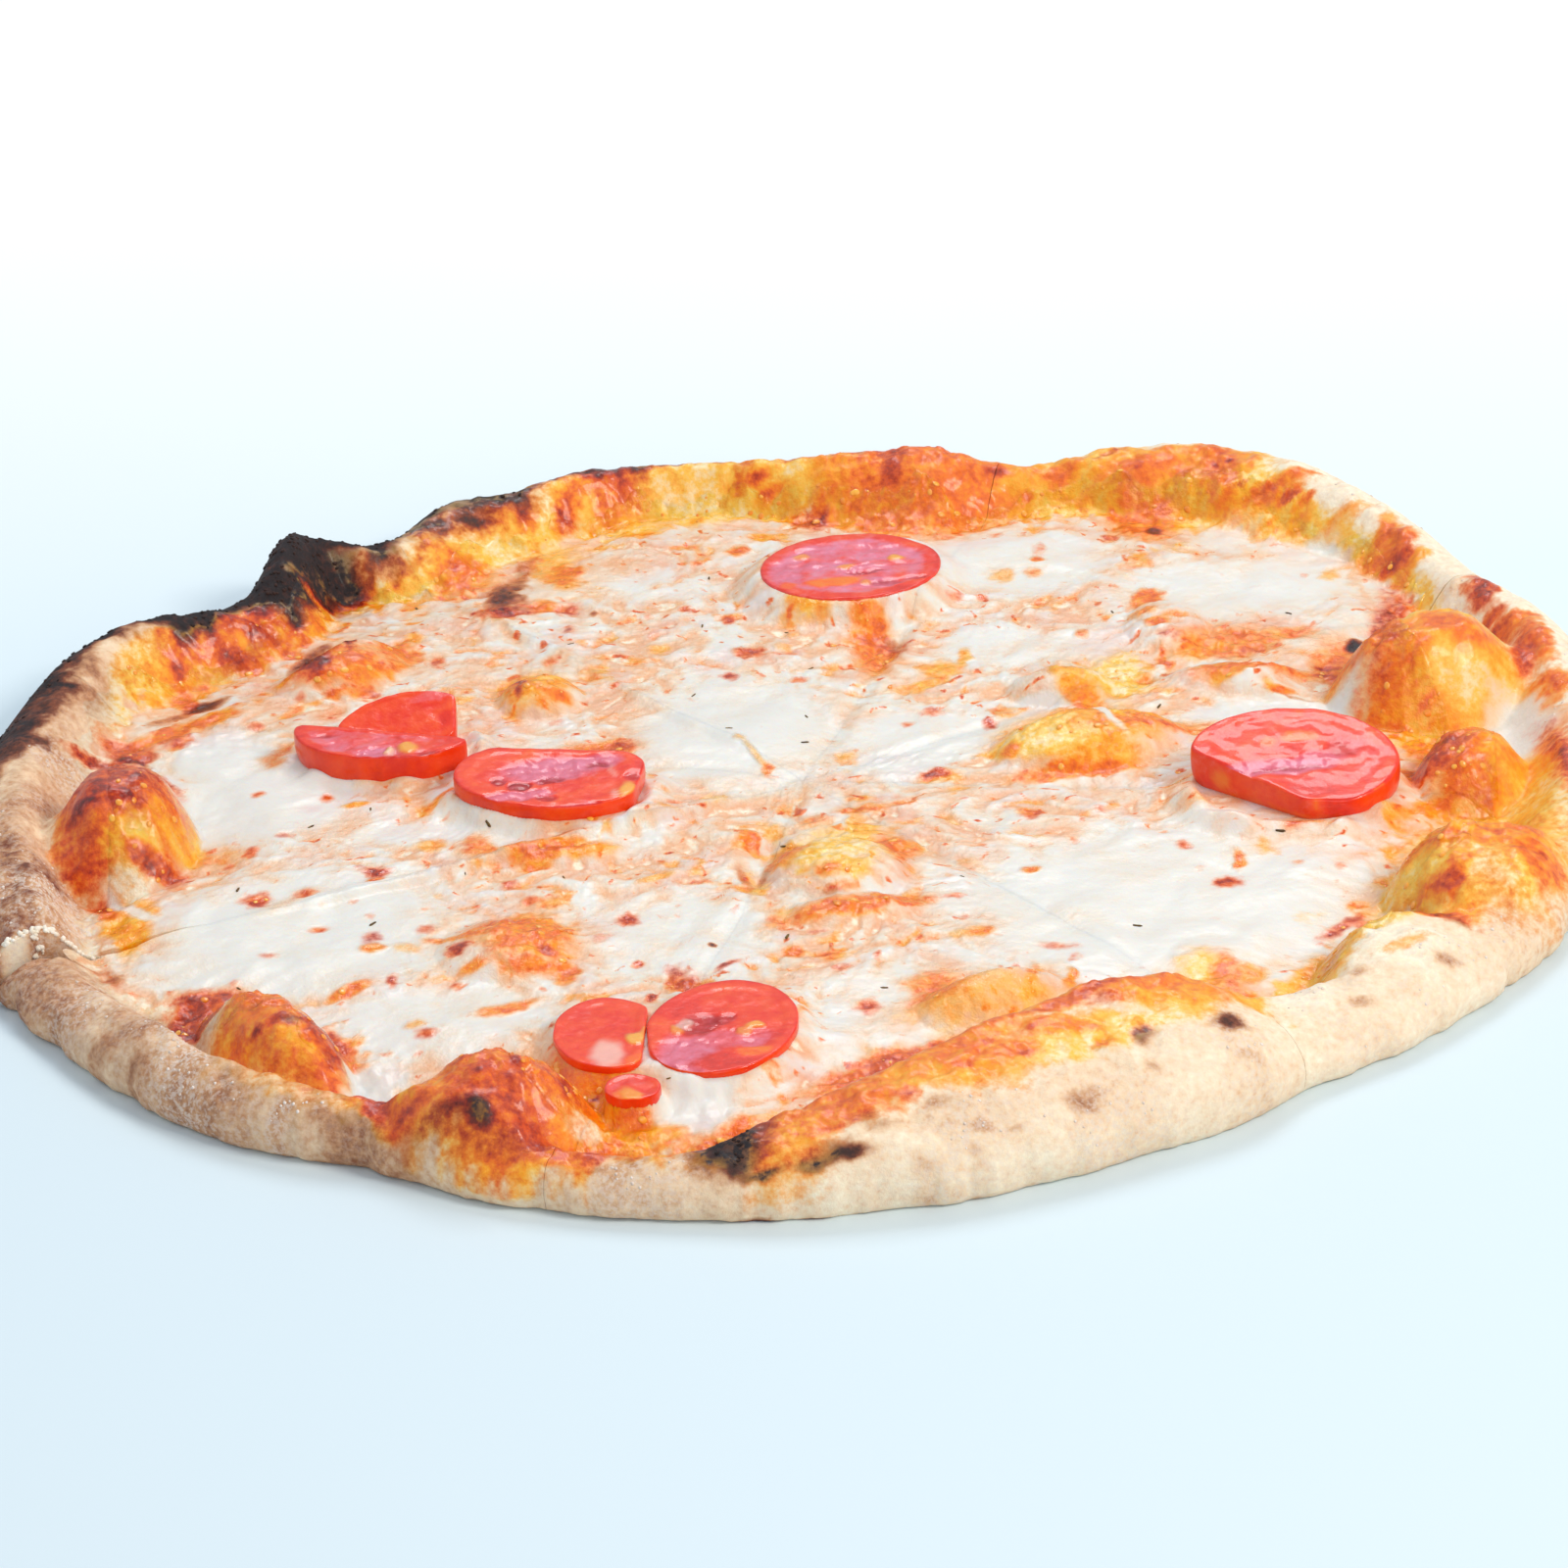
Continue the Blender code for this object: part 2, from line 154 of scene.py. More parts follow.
def oval(x, y, patch):
    """Share of the way out of an oval: 0 at its middle and 1 at its edge."""
    turn = math.radians(patch[4])
    c, s = math.cos(turn), math.sin(turn)
    dx, dy = x - patch[0], y - patch[1]
    return np.hypot((dx * c + dy * s) / patch[2], (dy * c - dx * s) / patch[3])


def raised(level, x, y, swells, share=1.0):
    """Heights with domes added, each rising out of what is already there."""
    for swell in swells:
        dome = (1 - np.minimum(1, oval(x, y, swell)) ** DOME_FLATNESS) ** DOME_SOFTNESS
        level = level + share * np.maximum(0, swell[5] - level) * dome
    return level


def polar(x, y):
    """Direction in degrees and distance from the crossing."""
    return np.degrees(np.arctan2(y, x)) % 360, np.hypot(x, y)


# %% Noise for everything that is uneven


def noise(x, y, size, seed):
    """Soft random hills about a size wide, from -1 to 1, the same on every run."""
    u, v = x / size + seed * 7.31, y / size - seed * 3.17
    i, j = np.floor(u).astype(np.int64), np.floor(v).astype(np.int64)
    fu, fv = u - i, v - j

    def corner(di, dj):
        h = ((i + di) * 374761393 + (j + dj) * 668265263 + seed * 982451653) & 0xFFFFFFFF
        h = ((h ^ (h >> 13)) * 1274126177) & 0xFFFFFFFF
        turn = ((h ^ (h >> 16)) & 1023) * (math.tau / 1024)
        return np.cos(turn) * (fu - di) + np.sin(turn) * (fv - dj)

    su = fu**3 * (fu * (fu * 6 - 15) + 10)
    sv = fv**3 * (fv * (fv * 6 - 15) + 10)
    near = corner(0, 0) * (1 - su) + corner(1, 0) * su
    far = corner(0, 1) * (1 - su) + corner(1, 1) * su
    return 1.5 * (near * (1 - sv) + far * sv)


def rough(x, y, size, seed, octaves=3):
    """Noise with finer noise on top of it."""
    total, weight = 0.0, 1.0
    for octave in range(octaves):
        total = total + weight * noise(x, y, size / 2**octave, seed + octave)
        weight *= 0.5
    return total


def drifted(x, y, size, far, seed):
    """Places pushed about, so that the edge of a patch wanders."""
    return x + far * noise(x, y, size, seed), y + far * noise(x, y, size, seed + 1)


probe = noise(*np.meshgrid(np.arange(0, 90, 0.5), np.arange(0, 90, 0.5)), 9, 4)
print("noise runs from", probe.min().round(2), "to", probe.max().round(2))

# %% Top of the crust, and where its rim begins


def crust_top(x, y):
    """Height of the flat base, the rim and its bubbles."""
    angle, radius = polar(x, y)
    inset = np.maximum(0, around(OUTLINE, angle) - radius)
    crest, crest_inset, foot_inset = (around(RIM, angle, column) for column in (1, 2, 3))
    near = np.clip(1 - inset / crest_inset, 0, 1)
    outer = crest * (EDGE_SHARE + (1 - EDGE_SHARE) * np.sqrt(1 - near**2))
    fall = np.clip((inset - crest_inset) / (foot_inset - crest_inset), 0, 1)
    inner = BASE + (crest - BASE) * (0.5 + 0.5 * np.cos(np.pi * fall))
    level = np.where(inset < crest_inset, outer, inner)
    shoulder = np.clip(inset / BUBBLE_SHOULDER, 0, 1)
    return raised(level, x, y, RIM_BUBBLES, np.sqrt(1 - (1 - shoulder) ** 2))


def spot_at(angle, radius):
    """X and Y of a direction and a distance."""
    return radius * np.cos(np.radians(angle)), radius * np.sin(np.radians(angle))


ring = np.arange(0.0, 360.0)
foot_table = np.full(360, 85.0)
for distance in np.arange(85.0, 150.0):
    low = crust_top(*spot_at(ring, np.full(360, distance))) < BASE + 0.15
    foot_table = np.where(low & (foot_table == distance), distance + 1, foot_table)
foot_table -= 1
beside = [foot_table[(ring.astype(int) + k) % 360] for k in range(-8, 9, 2)]
inmost = [np.minimum.reduce([np.roll(foot_table, -(t + a)) for a in range(-4, 5, 2)])
          for t in range(-4, 5, 2)]
FOOT = np.mean(inmost, axis=0)


def foot(angle):
    """Distance from the crossing where the rim begins, evened out."""
    return np.interp(np.mod(angle, 360), np.arange(361), np.append(FOOT, FOOT[0]))


print("the rim begins", FOOT.min().round(1), "to", FOOT.max().round(1), "mm out")

# %% Top of the cheese


def cheese_top(x, y):
    """Height of the melted sheet, thin at its edge, swollen where it blew up."""
    angle, radius = polar(x, y)
    start = foot(angle)
    inside = ease(start - 2 - radius, 0, 14)
    level = raised(BASE + 1.7 + 1.6 * inside, x, y, CHEESE_SWELLS, inside)
    for crease in CHEESE_CREASES:
        level = level - crease[5] * (1 - ease(oval(x, y, crease), 0, 1))
    for bed in TOMATO_BEDS:
        seat = (bed[0], bed[1], bed[2] + 12, bed[3] + 12, bed[4])
        under = 1 - ease(oval(x, y, seat), 0.8, 1.0)
        level = level + (np.minimum(level, TOMATO_SEAT) - level) * under
    return level


middle = float(cheese_top(np.zeros(1), np.zeros(1))[0])
print("the cheese stands", round(middle, 2), "mm above the table in the middle")

# %% [markdown]
# ## Where the baking shows
# White cheese, yellow fat, red sauce, brown and black spots: each is a patch with a place
# and a size. They are listed as ovals by kind and laid down in order, like a glazier's
# glazes, and noise makes their edges wander. The result is kept on the mesh as numbers
# between 0 and 1, called attributes, which the materials turn into colour.

# %% The patches: (x, y, half length, half width, turn, strength)
PATCHES = {
    "cream": (  # bare dough
        (103, -92.5, 11.8, 5.3, 4, 1), (-42, -130.5, 4.5, 2.4, 4, 1), (84.5, -105, 6.5, 9.1, 4, 1),
        (-146.5, -54, 4.3, 1.2, 1, 1), (-137, -51.5, 7.1, 1.2, 18, 1), (-129, -35.5, 4, 9.5, 4, 0.8),
    ),
    "toast": (  # lightly toasted
        (-63, 143.5, 19.5, 2.5, 137, 0.5), (-42, 175, 6.5, 3.2, 4, 0.6),
        (135.5, 62.5, 3.9, 2.5, 4, 0.6), (-139.5, -56.5, 3, 1.5, 4, 0.8),
        (23, -145.5, 11.8, 3.9, 4, 0.35), (45.5, -137.5, 10.2, 5.9, 4, 0.3),
        (-136, 57, 12.9, 6.6, 4, 0.25), (-146, 40, 10, 6.7, 4, 0.3), (-137, 43.5, 10.2, 3.1, 4, 0.5),
        (-149, 6, 6.5, 16.8, 4, 0.3),
    ),
    "soft": (  # soft brown bruises on the dough
        (-129.5, -60.5, 2.4, 3, 4, 1), (-139.5, -73.5, 12.7, 4, 129, 1), (113, -95.5, 2.9, 1.6, 4, 0.9),
        (96, -107.5, 2.8, 1.6, 4, 0.7), (-50.5, -140, 8.3, 3.2, 4, 1), (-70, -135, 9.7, 0.8, 4, 0.8),
        (-34, -147, 2.2, 1.9, 4, 0.8), (-40, -148, 2.4, 1, 4, 0.7), (19, -143.5, 2.4, 1.1, 4, 0.7),
        (27, -148, 2.4, 1.4, 4, 0.8), (32.5, -148.5, 1.7, 0.9, 4, 0.6), (25, -152, 1.5, 0.8, 4, 0.6),
        (44.5, -142, 3.5, 2.3, 4, 1), (57, -135, 1.8, 1.3, 4, 0.7), (16, -154.5, 2, 0.8, 4, 0.5),
        (75, -129.5, 3.2, 1.2, 4, 0.5), (-129, -91, 3.5, 1.5, 4, 0.9), (-122.5, -100.5, 3.7, 1.4, 4, 1),
        (-113.5, -108.5, 3.4, 1.3, 4, 0.6), (-106, -114.5, 3.6, 1.7, 4, 1),
        (-103, -117.5, 2.4, 1, 4, 0.8), (-84, -127.5, 12.3, 3.4, 148, 1),
        (-62, -138, 16.6, 3, 158, 0.8),
    ),
    "flour": (  # dusted with flour
        (-113, -102, 6.6, 13, 4, 0.8), (-91, -122, 10.9, 2.2, 4, 0.7), (-145, 21, 7.5, 6.8, 4, 0.5),
        (-140.5, -39, 11.4, 11.8, 4, 0.8), (-134, -77, 9.1, 9.2, 4, 0.5),
    ),
    "tan": (  # thin cheese the oil shines through
        (-46, 101, 9.2, 14.7, 4, 0.5), (-33, 130, 12.6, 7.3, 4, 1), (-50, 117.5, 8.5, 7.8, 4, 1),
        (47.5, 128.5, 3.3, 1.9, 4, 1), (-9, 10, 7.8, 0.8, 110, 0.9), (-18, -6.5, 3.8, 3.1, 4, 1),
        (109, -57, 5.5, 8.4, 4, 1), (-11, -41, 2.6, 7, 4, 1), (31, -94.5, 20.1, 6.5, 4, 1),
        (102.5, 121, 7.5, 5.2, 4, 0.3),
    ),
    "olive": (  # green-gold oil
        (90.5, -66.5, 3.9, 3.8, 4, 0.7), (91, -54, 7.2, 5.5, 4, 0.35), (65.5, -30.5, 5.5, 4.1, 4, 0.3),
        (-22.5, 9, 7.9, 3.6, 4, 0.3),
    ),
    "gold": (  # yellow oil
        (-84, 103, 4.5, 1.1, 4, 1), (-93.5, 98, 4, 2.7, 4, 1), (-56.5, 124.5, 8, 3.2, 4, 1),
        (-50, 109, 5.4, 5.9, 4, 0.5), (-11.5, 136.5, 4.6, 0.8, 4, 1), (-4.5, 116.5, 4.5, 3, 4, 0.8),
        (21, 131.5, 6.3, 2.3, 4, 1), (38.5, 133.5, 7.5, 5.2, 4, 1), (72, 124, 6.2, 0.8, 4, 1),
        (43, 89.5, 2.8, 4.4, 4, 0.6), (4, 75.5, 5.6, 5.7, 4, 0.8), (96.5, 122.5, 3.4, 4.8, 4, 1),
        (105.5, 105.5, 4.1, 3.7, 4, 1), (83.5, 113, 4.8, 5.9, 4, 1), (97, 105.5, 1.3, 6.8, 4, 0.7),
        (93, 97.5, 2, 3.9, 4, 0.4), (110, 83, 1.8, 4.8, 4, 0.6), (127, 78.5, 3.5, 2.1, 4, 1),
        (124, 94.5, 2.2, 2.5, 4, 0.7), (-87.5, 57.5, 5.1, 3.6, 4, 1), (-115, 46.5, 3.2, 2.8, 4, 1),
        (-102, 57, 2.3, 1.7, 4, 0.8), (-86.5, 1.5, 3.2, 1.2, 4, 0.8), (-129.5, -14, 10.2, 9.3, 4, 1),
        (-140, -17, 5, 3.4, 4, 1), (-127.5, -40.5, 5, 13.4, 4, 1), (-97, -90.5, 3.5, 7.8, 4, 1),
        (-76.5, 76, 2.4, 3.3, 4, 0.8), (-52.5, 46.5, 8.8, 10.1, 4, 1), (-27, 64.5, 3, 2.8, 4, 0.7),
        (-2.5, 60.5, 2.4, 2.3, 4, 0.5), (-12, 17.5, 1.2, 1.8, 4, 0.5), (16, 65.5, 2.9, 8, 4, 0.6),
        (21.5, 38.5, 4.3, 2.7, 4, 0.6), (29, 47, 4.7, 4.1, 4, 0.9), (34, 51.5, 1.8, 5, 4, 0.8),
        (25.5, 40.5, 4.3, 2.2, 4, 0.8), (9.5, 9, 3, 3, 4, 0.6), (25, -0.5, 4.9, 3.8, 4, 0.7),
        (55.5, 12, 16.9, 14, 4, 1), (54.5, 35, 4.7, 9.8, 4, 1), (131, 20.5, 12.6, 7.4, 4, 1),
        (117, 15, 4.6, 1.2, 4, 1), (85, 32, 3.5, 2.3, 4, 1), (80.5, 47, 5.1, 4.3, 4, 0.7),
        (133, -14.5, 9.4, 5.5, 149, 1), (77, 14, 5.7, 3.5, 4, 0.8), (125, -53, 15.8, 26.3, 4, 1),
        (118, -78, 5.7, 3.5, 108, 1), (92, -88, 6, 7.6, 4, 0.8), (105.5, -93, 5.8, 1.5, 20, 0.6),
        (84.5, -39, 1.7, 2.8, 4, 0.6), (87, -41, 1.1, 2, 4, 0.4), (28.5, -66, 4.7, 2.3, 4, 0.6),
        (4, -72, 3.9, 3.1, 4, 0.5), (10.5, -23, 3, 7.8, 4, 1), (8, -43, 3.6, 2.7, 4, 0.8),
        (7.5, -58, 7.2, 1.6, 4, 0.7), (-6, -20, 3, 3.4, 4, 0.7), (-71.5, -18, 3.8, 3.3, 4, 0.7),
        (-44.5, -25.5, 6.3, 4, 4, 1), (-37.5, -24.5, 3.2, 3, 4, 0.7), (-51.5, -58, 6.2, 8.6, 4, 1),
        (-29, -37, 4.5, 1.5, 23, 0.7), (-75, -59, 3.3, 2.3, 4, 0.5), (-72.5, -88, 2.2, 1.9, 4, 0.6),
        (-95.5, -104, 6.5, 3, 4, 1), (-44, -118, 10.8, 10.3, 4, 1), (-30.5, -130.5, 7.9, 3, 4, 1),
        (20.5, -135, 21.9, 4.5, 10, 1), (-7.5, -145.5, 10, 13, 4, 0.8), (2, -143.5, 9, 4, 23, 0.8),
        (57.5, -114.5, 8.6, 3.9, 4, 0.9), (64.5, -115.5, 5.5, 5.1, 4, 0.9), (79, -86, 2.5, 3.6, 4, 0.7),
        (-31, -120.5, 5.2, 4.9, 4, 0.5), (48, -126, 8.5, 4.3, 4, 0.6), (27, -138, 10.1, 4, 4, 0.6),
        (120.5, 13, 5.7, 1.5, 4, 0.6), (58.5, 0, 9.5, 2.2, 4, 0.6), (-130, -20.5, 5.5, 1.9, 4, 0.6),
        (117.5, 16.5, 4.6, 1.6, 4, 0.7), (127, 18.5, 6.7, 3.2, 4, 0.7), (128, -69.5, 5.2, 4.9, 4, 0.6),
        (20.5, -133, 15.9, 5.4, 4, 0.8), (43, -124.5, 10.2, 4.8, 4, 0.8), (63, -114, 11.5, 5, 4, 0.8),
        (-10.5, 137, 6.3, 1.3, 4, 0.8), (12.5, 131, 6.3, 2.1, 4, 0.7), (33, 129, 12.4, 3.1, 4, 0.7),
        (62, 127, 8.5, 2.5, 4, 0.7), (107, 24, 6.4, 4.2, 4, 0.7), (6.5, -134.5, 10, 7.8, 4, 0.6),
        (117, 100, 5.4, 2.1, 4, 0.5),
    ),
    "glow": (  # pale glowing dough under oil
        (-85.5, 106, 4.5, 2.4, 4, 1), (-104.5, 84, 4.9, 3.5, 157, 1), (-71, 117, 10.3, 7.7, 4, 1),
        (-50, 128.5, 5.5, 3.5, 77, 1), (-30, 138, 6.6, 1.1, 4, 1), (-17.5, 138.5, 6.2, 11.7, 4, 1),
        (0, 136.5, 3.5, 2.1, 4, 1), (45.5, 130, 4.2, 1.5, 4, 0.7), (-125, -14, 6, 3.6, 4, 0.8),
        (46, 7, 9.2, 5.4, 4, 0.8), (63, 38.5, 6.7, 9.9, 4, 1), (129, 16, 8.1, 2, 4, 0.7),
        (123.5, -71, 7.9, 5.7, 4, 1), (4.5, -32.5, 10.1, 12.4, 4, 0.8),
        (-51.5, -66.5, 4.3, 2.4, 4, 0.6), (50, -126.5, 16.4, 5, 22, 1), (69, -86, 4.6, 9.1, 4, 0.9),
        (131, 17, 9.6, 3.8, 4, 0.6), (-128.5, -20.5, 6.6, 3, 4, 0.55), (126.5, -74, 5.7, 4, 4, 0.5),
        (49.5, 2.5, 7.7, 2.7, 4, 0.6), (-120.5, -10, 4, 6.1, 4, 0.8), (134.5, 17, 5, 1.5, 4, 0.7),
        (-41.5, 132.5, 8.8, 2, 4, 0.5), (-21, 138, 9.2, 1.1, 4, 0.6), (-33.5, 124, 7.3, 6.5, 4, 0.5),
        (110, -64, 9, 4.9, 4, 0.5), (87.5, 113, 10.8, 4.2, 4, 0.5), (-118.5, -11, 3.5, 5, 4, 0.8),
        (80, 97.5, 4.9, 3.9, 4, 0.4),
    ),
    "orange": (  # oil reddened by the sauce
        (-114, 78, 3.6, 1.6, 4, 1), (-90, 101, 2.4, 2.8, 4, 1), (-67.5, 106.5, 5.9, 8.2, 4, 1),
        (-46.5, 103, 3.7, 6.9, 4, 1), (-51.5, 88, 3.1, 3.4, 4, 1), (-36.5, 138.5, 6.7, 8.4, 4, 1),
        (-3, 135, 3.5, 0.8, 4, 1), (-31, 122, 4.6, 2.5, 4, 0.6), (-19, 130.5, 1.9, 2.6, 4, 0.6),
        (-10.5, 109.5, 2.7, 3, 4, 0.9), (30, 130, 20.2, 17.5, 4, 1), (25.5, 126, 4.6, 1.2, 4, 1),
        (57, 131.5, 5.8, 2.8, 4, 1), (76, 127.5, 9.1, 4.5, 4, 1), (74, 113, 7.1, 9.9, 4, 1),
        (51.5, 96, 1.7, 1.5, 4, 1), (50, 90, 2.6, 2.4, 4, 0.6), (72, 73.5, 3.7, 5.2, 4, 1),
        (70.5, 64, 2.5, 3.2, 4, 0.8), (73, 58, 2.7, 1.6, 4, 1), (13, 72.5, 2.4, 3.8, 4, 0.7),
        (91.5, 124.5, 6.3, 11.7, 4, 1), (84, 125, 3.4, 3, 4, 1), (102, 113.5, 11.2, 1.7, 4, 1),
        (112, 100, 4.7, 1.2, 4, 0.7), (123, 90.5, 3.8, 2.9, 4, 1), (123, 85.5, 6.5, 4.3, 4, 1),
        (143, 42.5, 6.2, 4.3, 4, 1), (-123, 59.5, 2.8, 9.6, 4, 1), (-116.5, 73, 6.4, 3, 33, 1),
        (-107.5, 76.5, 3, 1.4, 4, 1), (-91.5, 58, 11.5, 7.5, 4, 1), (-123, 41, 14.3, 4.2, 25, 1),
        (-102.5, 25, 4.3, 6.6, 4, 0.75), (-125, 69.5, 4.1, 1.5, 4, 0.7),
        (-136.5, -8.5, 6.5, 16.9, 4, 1), (-137, -21, 3.2, 2.7, 4, 1), (-132, -32.5, 2.3, 4, 4, 0.7),
        (-81, -31, 2.3, 1.6, 4, 1), (-81, -58, 2.4, 2, 4, 0.9), (-85, -73.5, 4.9, 1.8, 28, 1),
        (-100, -90.5, 7.7, 11, 4, 1), (-80, 68, 4, 6.7, 4, 1), (-47, 39.5, 2.5, 1.5, 4, 1),
        (-58, 47, 2, 5.7, 4, 0.7), (-39, 19.5, 7.8, 4.4, 4, 1), (-7, 4.5, 1.2, 2.5, 4, 0.9),
        (16, 59.5, 5.1, 13.8, 4, 1), (54.5, -3, 12.4, 2.1, 4, 1), (40.5, 4, 1.7, 2.3, 4, 0.9),
        (55.5, 25, 3.9, 3.9, 4, 1), (73.5, 45, 1.4, 6, 4, 1), (68.5, 37, 2.3, 2.7, 4, 0.8),
        (58, 58.5, 1.8, 2.3, 4, 0.7), (70, 11.5, 14.7, 3, 13, 0.8), (19, -12, 2.6, 1.7, 4, 0.9),
        (116.5, 18.5, 6.4, 3.3, 4, 1), (116, 14, 6.2, 0.8, 4, 1), (146.5, 31.5, 3.3, 9.5, 4, 1),
        (90, 35, 15.9, 3.2, 180, 0.9), (95, 27.5, 3.1, 1.2, 4, 1), (88, 50.5, 12.1, 8.2, 4, 0.75),
        (100, 54, 5.5, 3.7, 4, 0.7), (123.5, -12, 8.5, 13, 4, 1), (127, -18.5, 1.9, 1.9, 4, 0.7),
        (145.5, 13.5, 5.5, 5.4, 4, 1), (128, -23, 3.1, 1.2, 2, 0.9), (90, 5, 1.5, 1.7, 4, 0.9),
        (92.5, 9.5, 3.4, 2.6, 4, 0.8), (83, 1.5, 8.8, 1.3, 1, 0.8), (116, -60.5, 3.5, 3.6, 4, 0.9),
        (110.5, -58, 2.5, 3.9, 4, 0.8), (133.5, -66.5, 4.5, 6.3, 4, 1), (130.5, -58, 5.5, 5.2, 4, 0.8),
        (80, -43.5, 1.5, 3.6, 4, 1), (100.5, -61, 2.3, 1.6, 4, 0.9), (41, -42.5, 2.2, 1.6, 4, 0.9),
        (31.5, -66, 2.2, 1.6, 4, 0.9), (-4, -69, 2.3, 2.7, 4, 1), (8, -91, 2.5, 2.6, 4, 0.5),
        (-4.5, -32, 3.5, 5.6, 4, 1), (16, -30.5, 3.5, 6, 4, 1), (3.5, -43.5, 2.6, 2, 4, 0.8),
        (6, -48, 3.7, 1.7, 4, 0.6), (11, -13.5, 6, 2.1, 4, 0.8), (8.5, -54.5, 16, 3.6, 13, 1),
        (1.5, -17, 4.1, 2.5, 4, 0.6), (-11.5, -22.5, 2.3, 3, 4, 1), (-62, -21, 3.5, 5.8, 4, 0.75),
        (-49, -25, 8.7, 4.9, 4, 1), (-51.5, -30.5, 3.3, 1.5, 4, 0.8), (-54, -60, 10.1, 11.8, 4, 0.85),
        (-62.5, -70, 2.7, 1.4, 4, 0.9), (-66, -58, 6.1, 1.6, 161, 0.9), (-52, -71.5, 5, 2, 4, 0.9),
        (-45.5, -72.5, 3.1, 4.9, 4, 1), (-25.5, -80, 2.9, 3.4, 4, 0.9), (-56, -84, 6.8, 2.2, 25, 0.9),
        (-103.5, -97, 4.5, 1.9, 4, 1), (-83, -100.5, 2, 2.6, 4, 1), (-78, -106.5, 1.2, 1.8, 4, 0.8),
        (-55, -119, 19, 17.4, 4, 1), (-70, -130.5, 3.9, 2.9, 4, 1), (-33, -127, 3.1, 2, 4, 0.8),
        (-15.5, -129.5, 3.5, 3.9, 4, 0.9), (-22, -133.5, 6, 6.5, 4, 0.7), (9.5, -113, 16.4, 4.5, 29, 1),
        (43, -109, 24.6, 4.5, 173, 1), (49, -129.5, 1.7, 1.9, 4, 0.8), (34.5, -131, 2.7, 2, 4, 0.8),
        (30.5, -127, 1.4, 1.6, 4, 0.7), (22, -87.5, 6.9, 8.2, 4, 0.8), (45.5, -85.5, 1.4, 4.6, 4, 1),
        (74.5, -90.5, 4.5, 11.7, 4, 0.8), (3, -136.5, 10, 7.8, 4, 0.7), (20.5, -130, 14.9, 3.3, 4, 0.7),
        (41.5, -124.5, 8.5, 2.9, 4, 0.7), (128, 23.5, 10, 3.5, 4, 0.5), (45, -3.5, 7.6, 2.6, 4, 0.6),
        (-138.5, -12, 3.5, 14.3, 4, 0.7), (-135, -23.5, 4.9, 1.2, 4, 0.7),
        (111.5, 22.5, 7.5, 14.3, 4, 0.85), (118.5, -69.5, 3.3, 2.5, 4, 0.6),
        (6.5, -143, 8.5, 4, 4, 0.7), (30.5, -132, 6.8, 2.1, 4, 0.6), (-6, 137, 5.2, 0.9, 4, 0.7),
        (109, 36, 7.5, 16, 4, 0.9), (99.5, 111, 13.2, 1.2, 4, 0.6),
    ),
    "red": (  # bare sauce
        (-108, 81, 3.4, 2.2, 4, 1), (-97, 94, 3, 2.8, 4, 1), (22.5, 134, 2.3, 6.5, 4, 1),
        (44.5, 132.5, 2.8, 2.1, 4, 1), (78.5, 120.5, 1.9, 1.7, 4, 0.7), (66.5, 106.5, 1.6, 3, 4, 0.7),
        (104.5, 110, 3.2, 1.2, 4, 1), (108, 108, 1.9, 0.8, 4, 0.7), (123, 81, 4, 2, 4, 1),
        (138.5, 58.5, 3.3, 8.8, 4, 1), (138.5, 48, 3.5, 1.9, 4, 1), (-110, 77, 5.4, 1.9, 4, 1),
        (-133, 34.5, 8, 3.5, 137, 0.8), (-132.5, 30, 5.3, 2.7, 4, 0.8), (-123, -21.5, 6.1, 1.6, 4, 1),
        (-133, -29.5, 3.4, 3.3, 4, 1), (-111.5, -74, 7.5, 7.1, 4, 1), (-9, 59, 3, 3.7, 4, 1),
        (142.5, 29, 1.9, 5.3, 4, 1), (139.5, 44.5, 4, 1.5, 4, 0.9), (117.5, -12.5, 6.2, 5.8, 4, 1),
        (116, -72.5, 3.2, 2.2, 4, 1), (108.5, -76, 13, 3, 138, 1), (-48.5, -66.5, 1.7, 2, 4, 0.8),
        (-30, -84, 1.6, 1.5, 4, 0.9), (-112, -80, 7.5, 4.8, 4, 1), (-88.5, -98.5, 4, 10.6, 4, 1),
        (-80.5, -120, 13.8, 3, 117, 1), (18, -107, 12.9, 2, 24, 0.5),
        (45.5, -115.5, 11.1, 1.7, 27, 0.8), (143, 31.5, 2.7, 8.8, 4, 0.6),
    ),
    "peach": (  # thin cheese over sauce
        (-61, 105, 3.5, 6.5, 4, 1), (115.5, 78.5, 1.2, 14.8, 4, 0.7), (-113.5, -15.5, 8.1, 6.6, 4, 1),
        (-97, -36.5, 8.7, 2.5, 40, 0.7), (14, 46, 2.8, 4.4, 4, 1), (17.5, -34.5, 3.2, 10.7, 4, 1),
        (-14, -27, 2.2, 8.7, 4, 0.6), (113.5, 90, 4.8, 7.5, 4, 0.5),
    ),
    "white": (  # thick white cheese
        (-114, 28.5, 10.8, 9.7, 4, 1), (-108, 7.5, 14.4, 10.7, 4, 1), (-128, -33, 9.8, 1.6, 126, 0.8),
        (21, 7, 11.1, 7.7, 4, 1), (47, 28, 7, 1.5, 164, 0.9), (57.5, 16, 12.3, 1.4, 114, 0.9),
        (92.5, 19, 19.2, 6.8, 4, 1), (139.5, 5, 6.5, 13.3, 4, 1), (-80, -108, 5.5, 8.4, 4, 1),
        (-22.5, -122.5, 7.6, 8.5, 4, 1), (90.5, 104, 8.1, 9.1, 4, 0.6), (106, 93.5, 8.9, 8.8, 4, 0.7),
        (-11.5, -0.5, 9.5, 4.9, 4, 0.4),
    ),
    "spot": (  # browned oily spots
        (-19, 104.5, 1.9, 2, 4, 0.5), (-22.5, 98.5, 2, 2, 4, 0.5), (-29.5, 80, 1.6, 2.9, 4, 0.6),
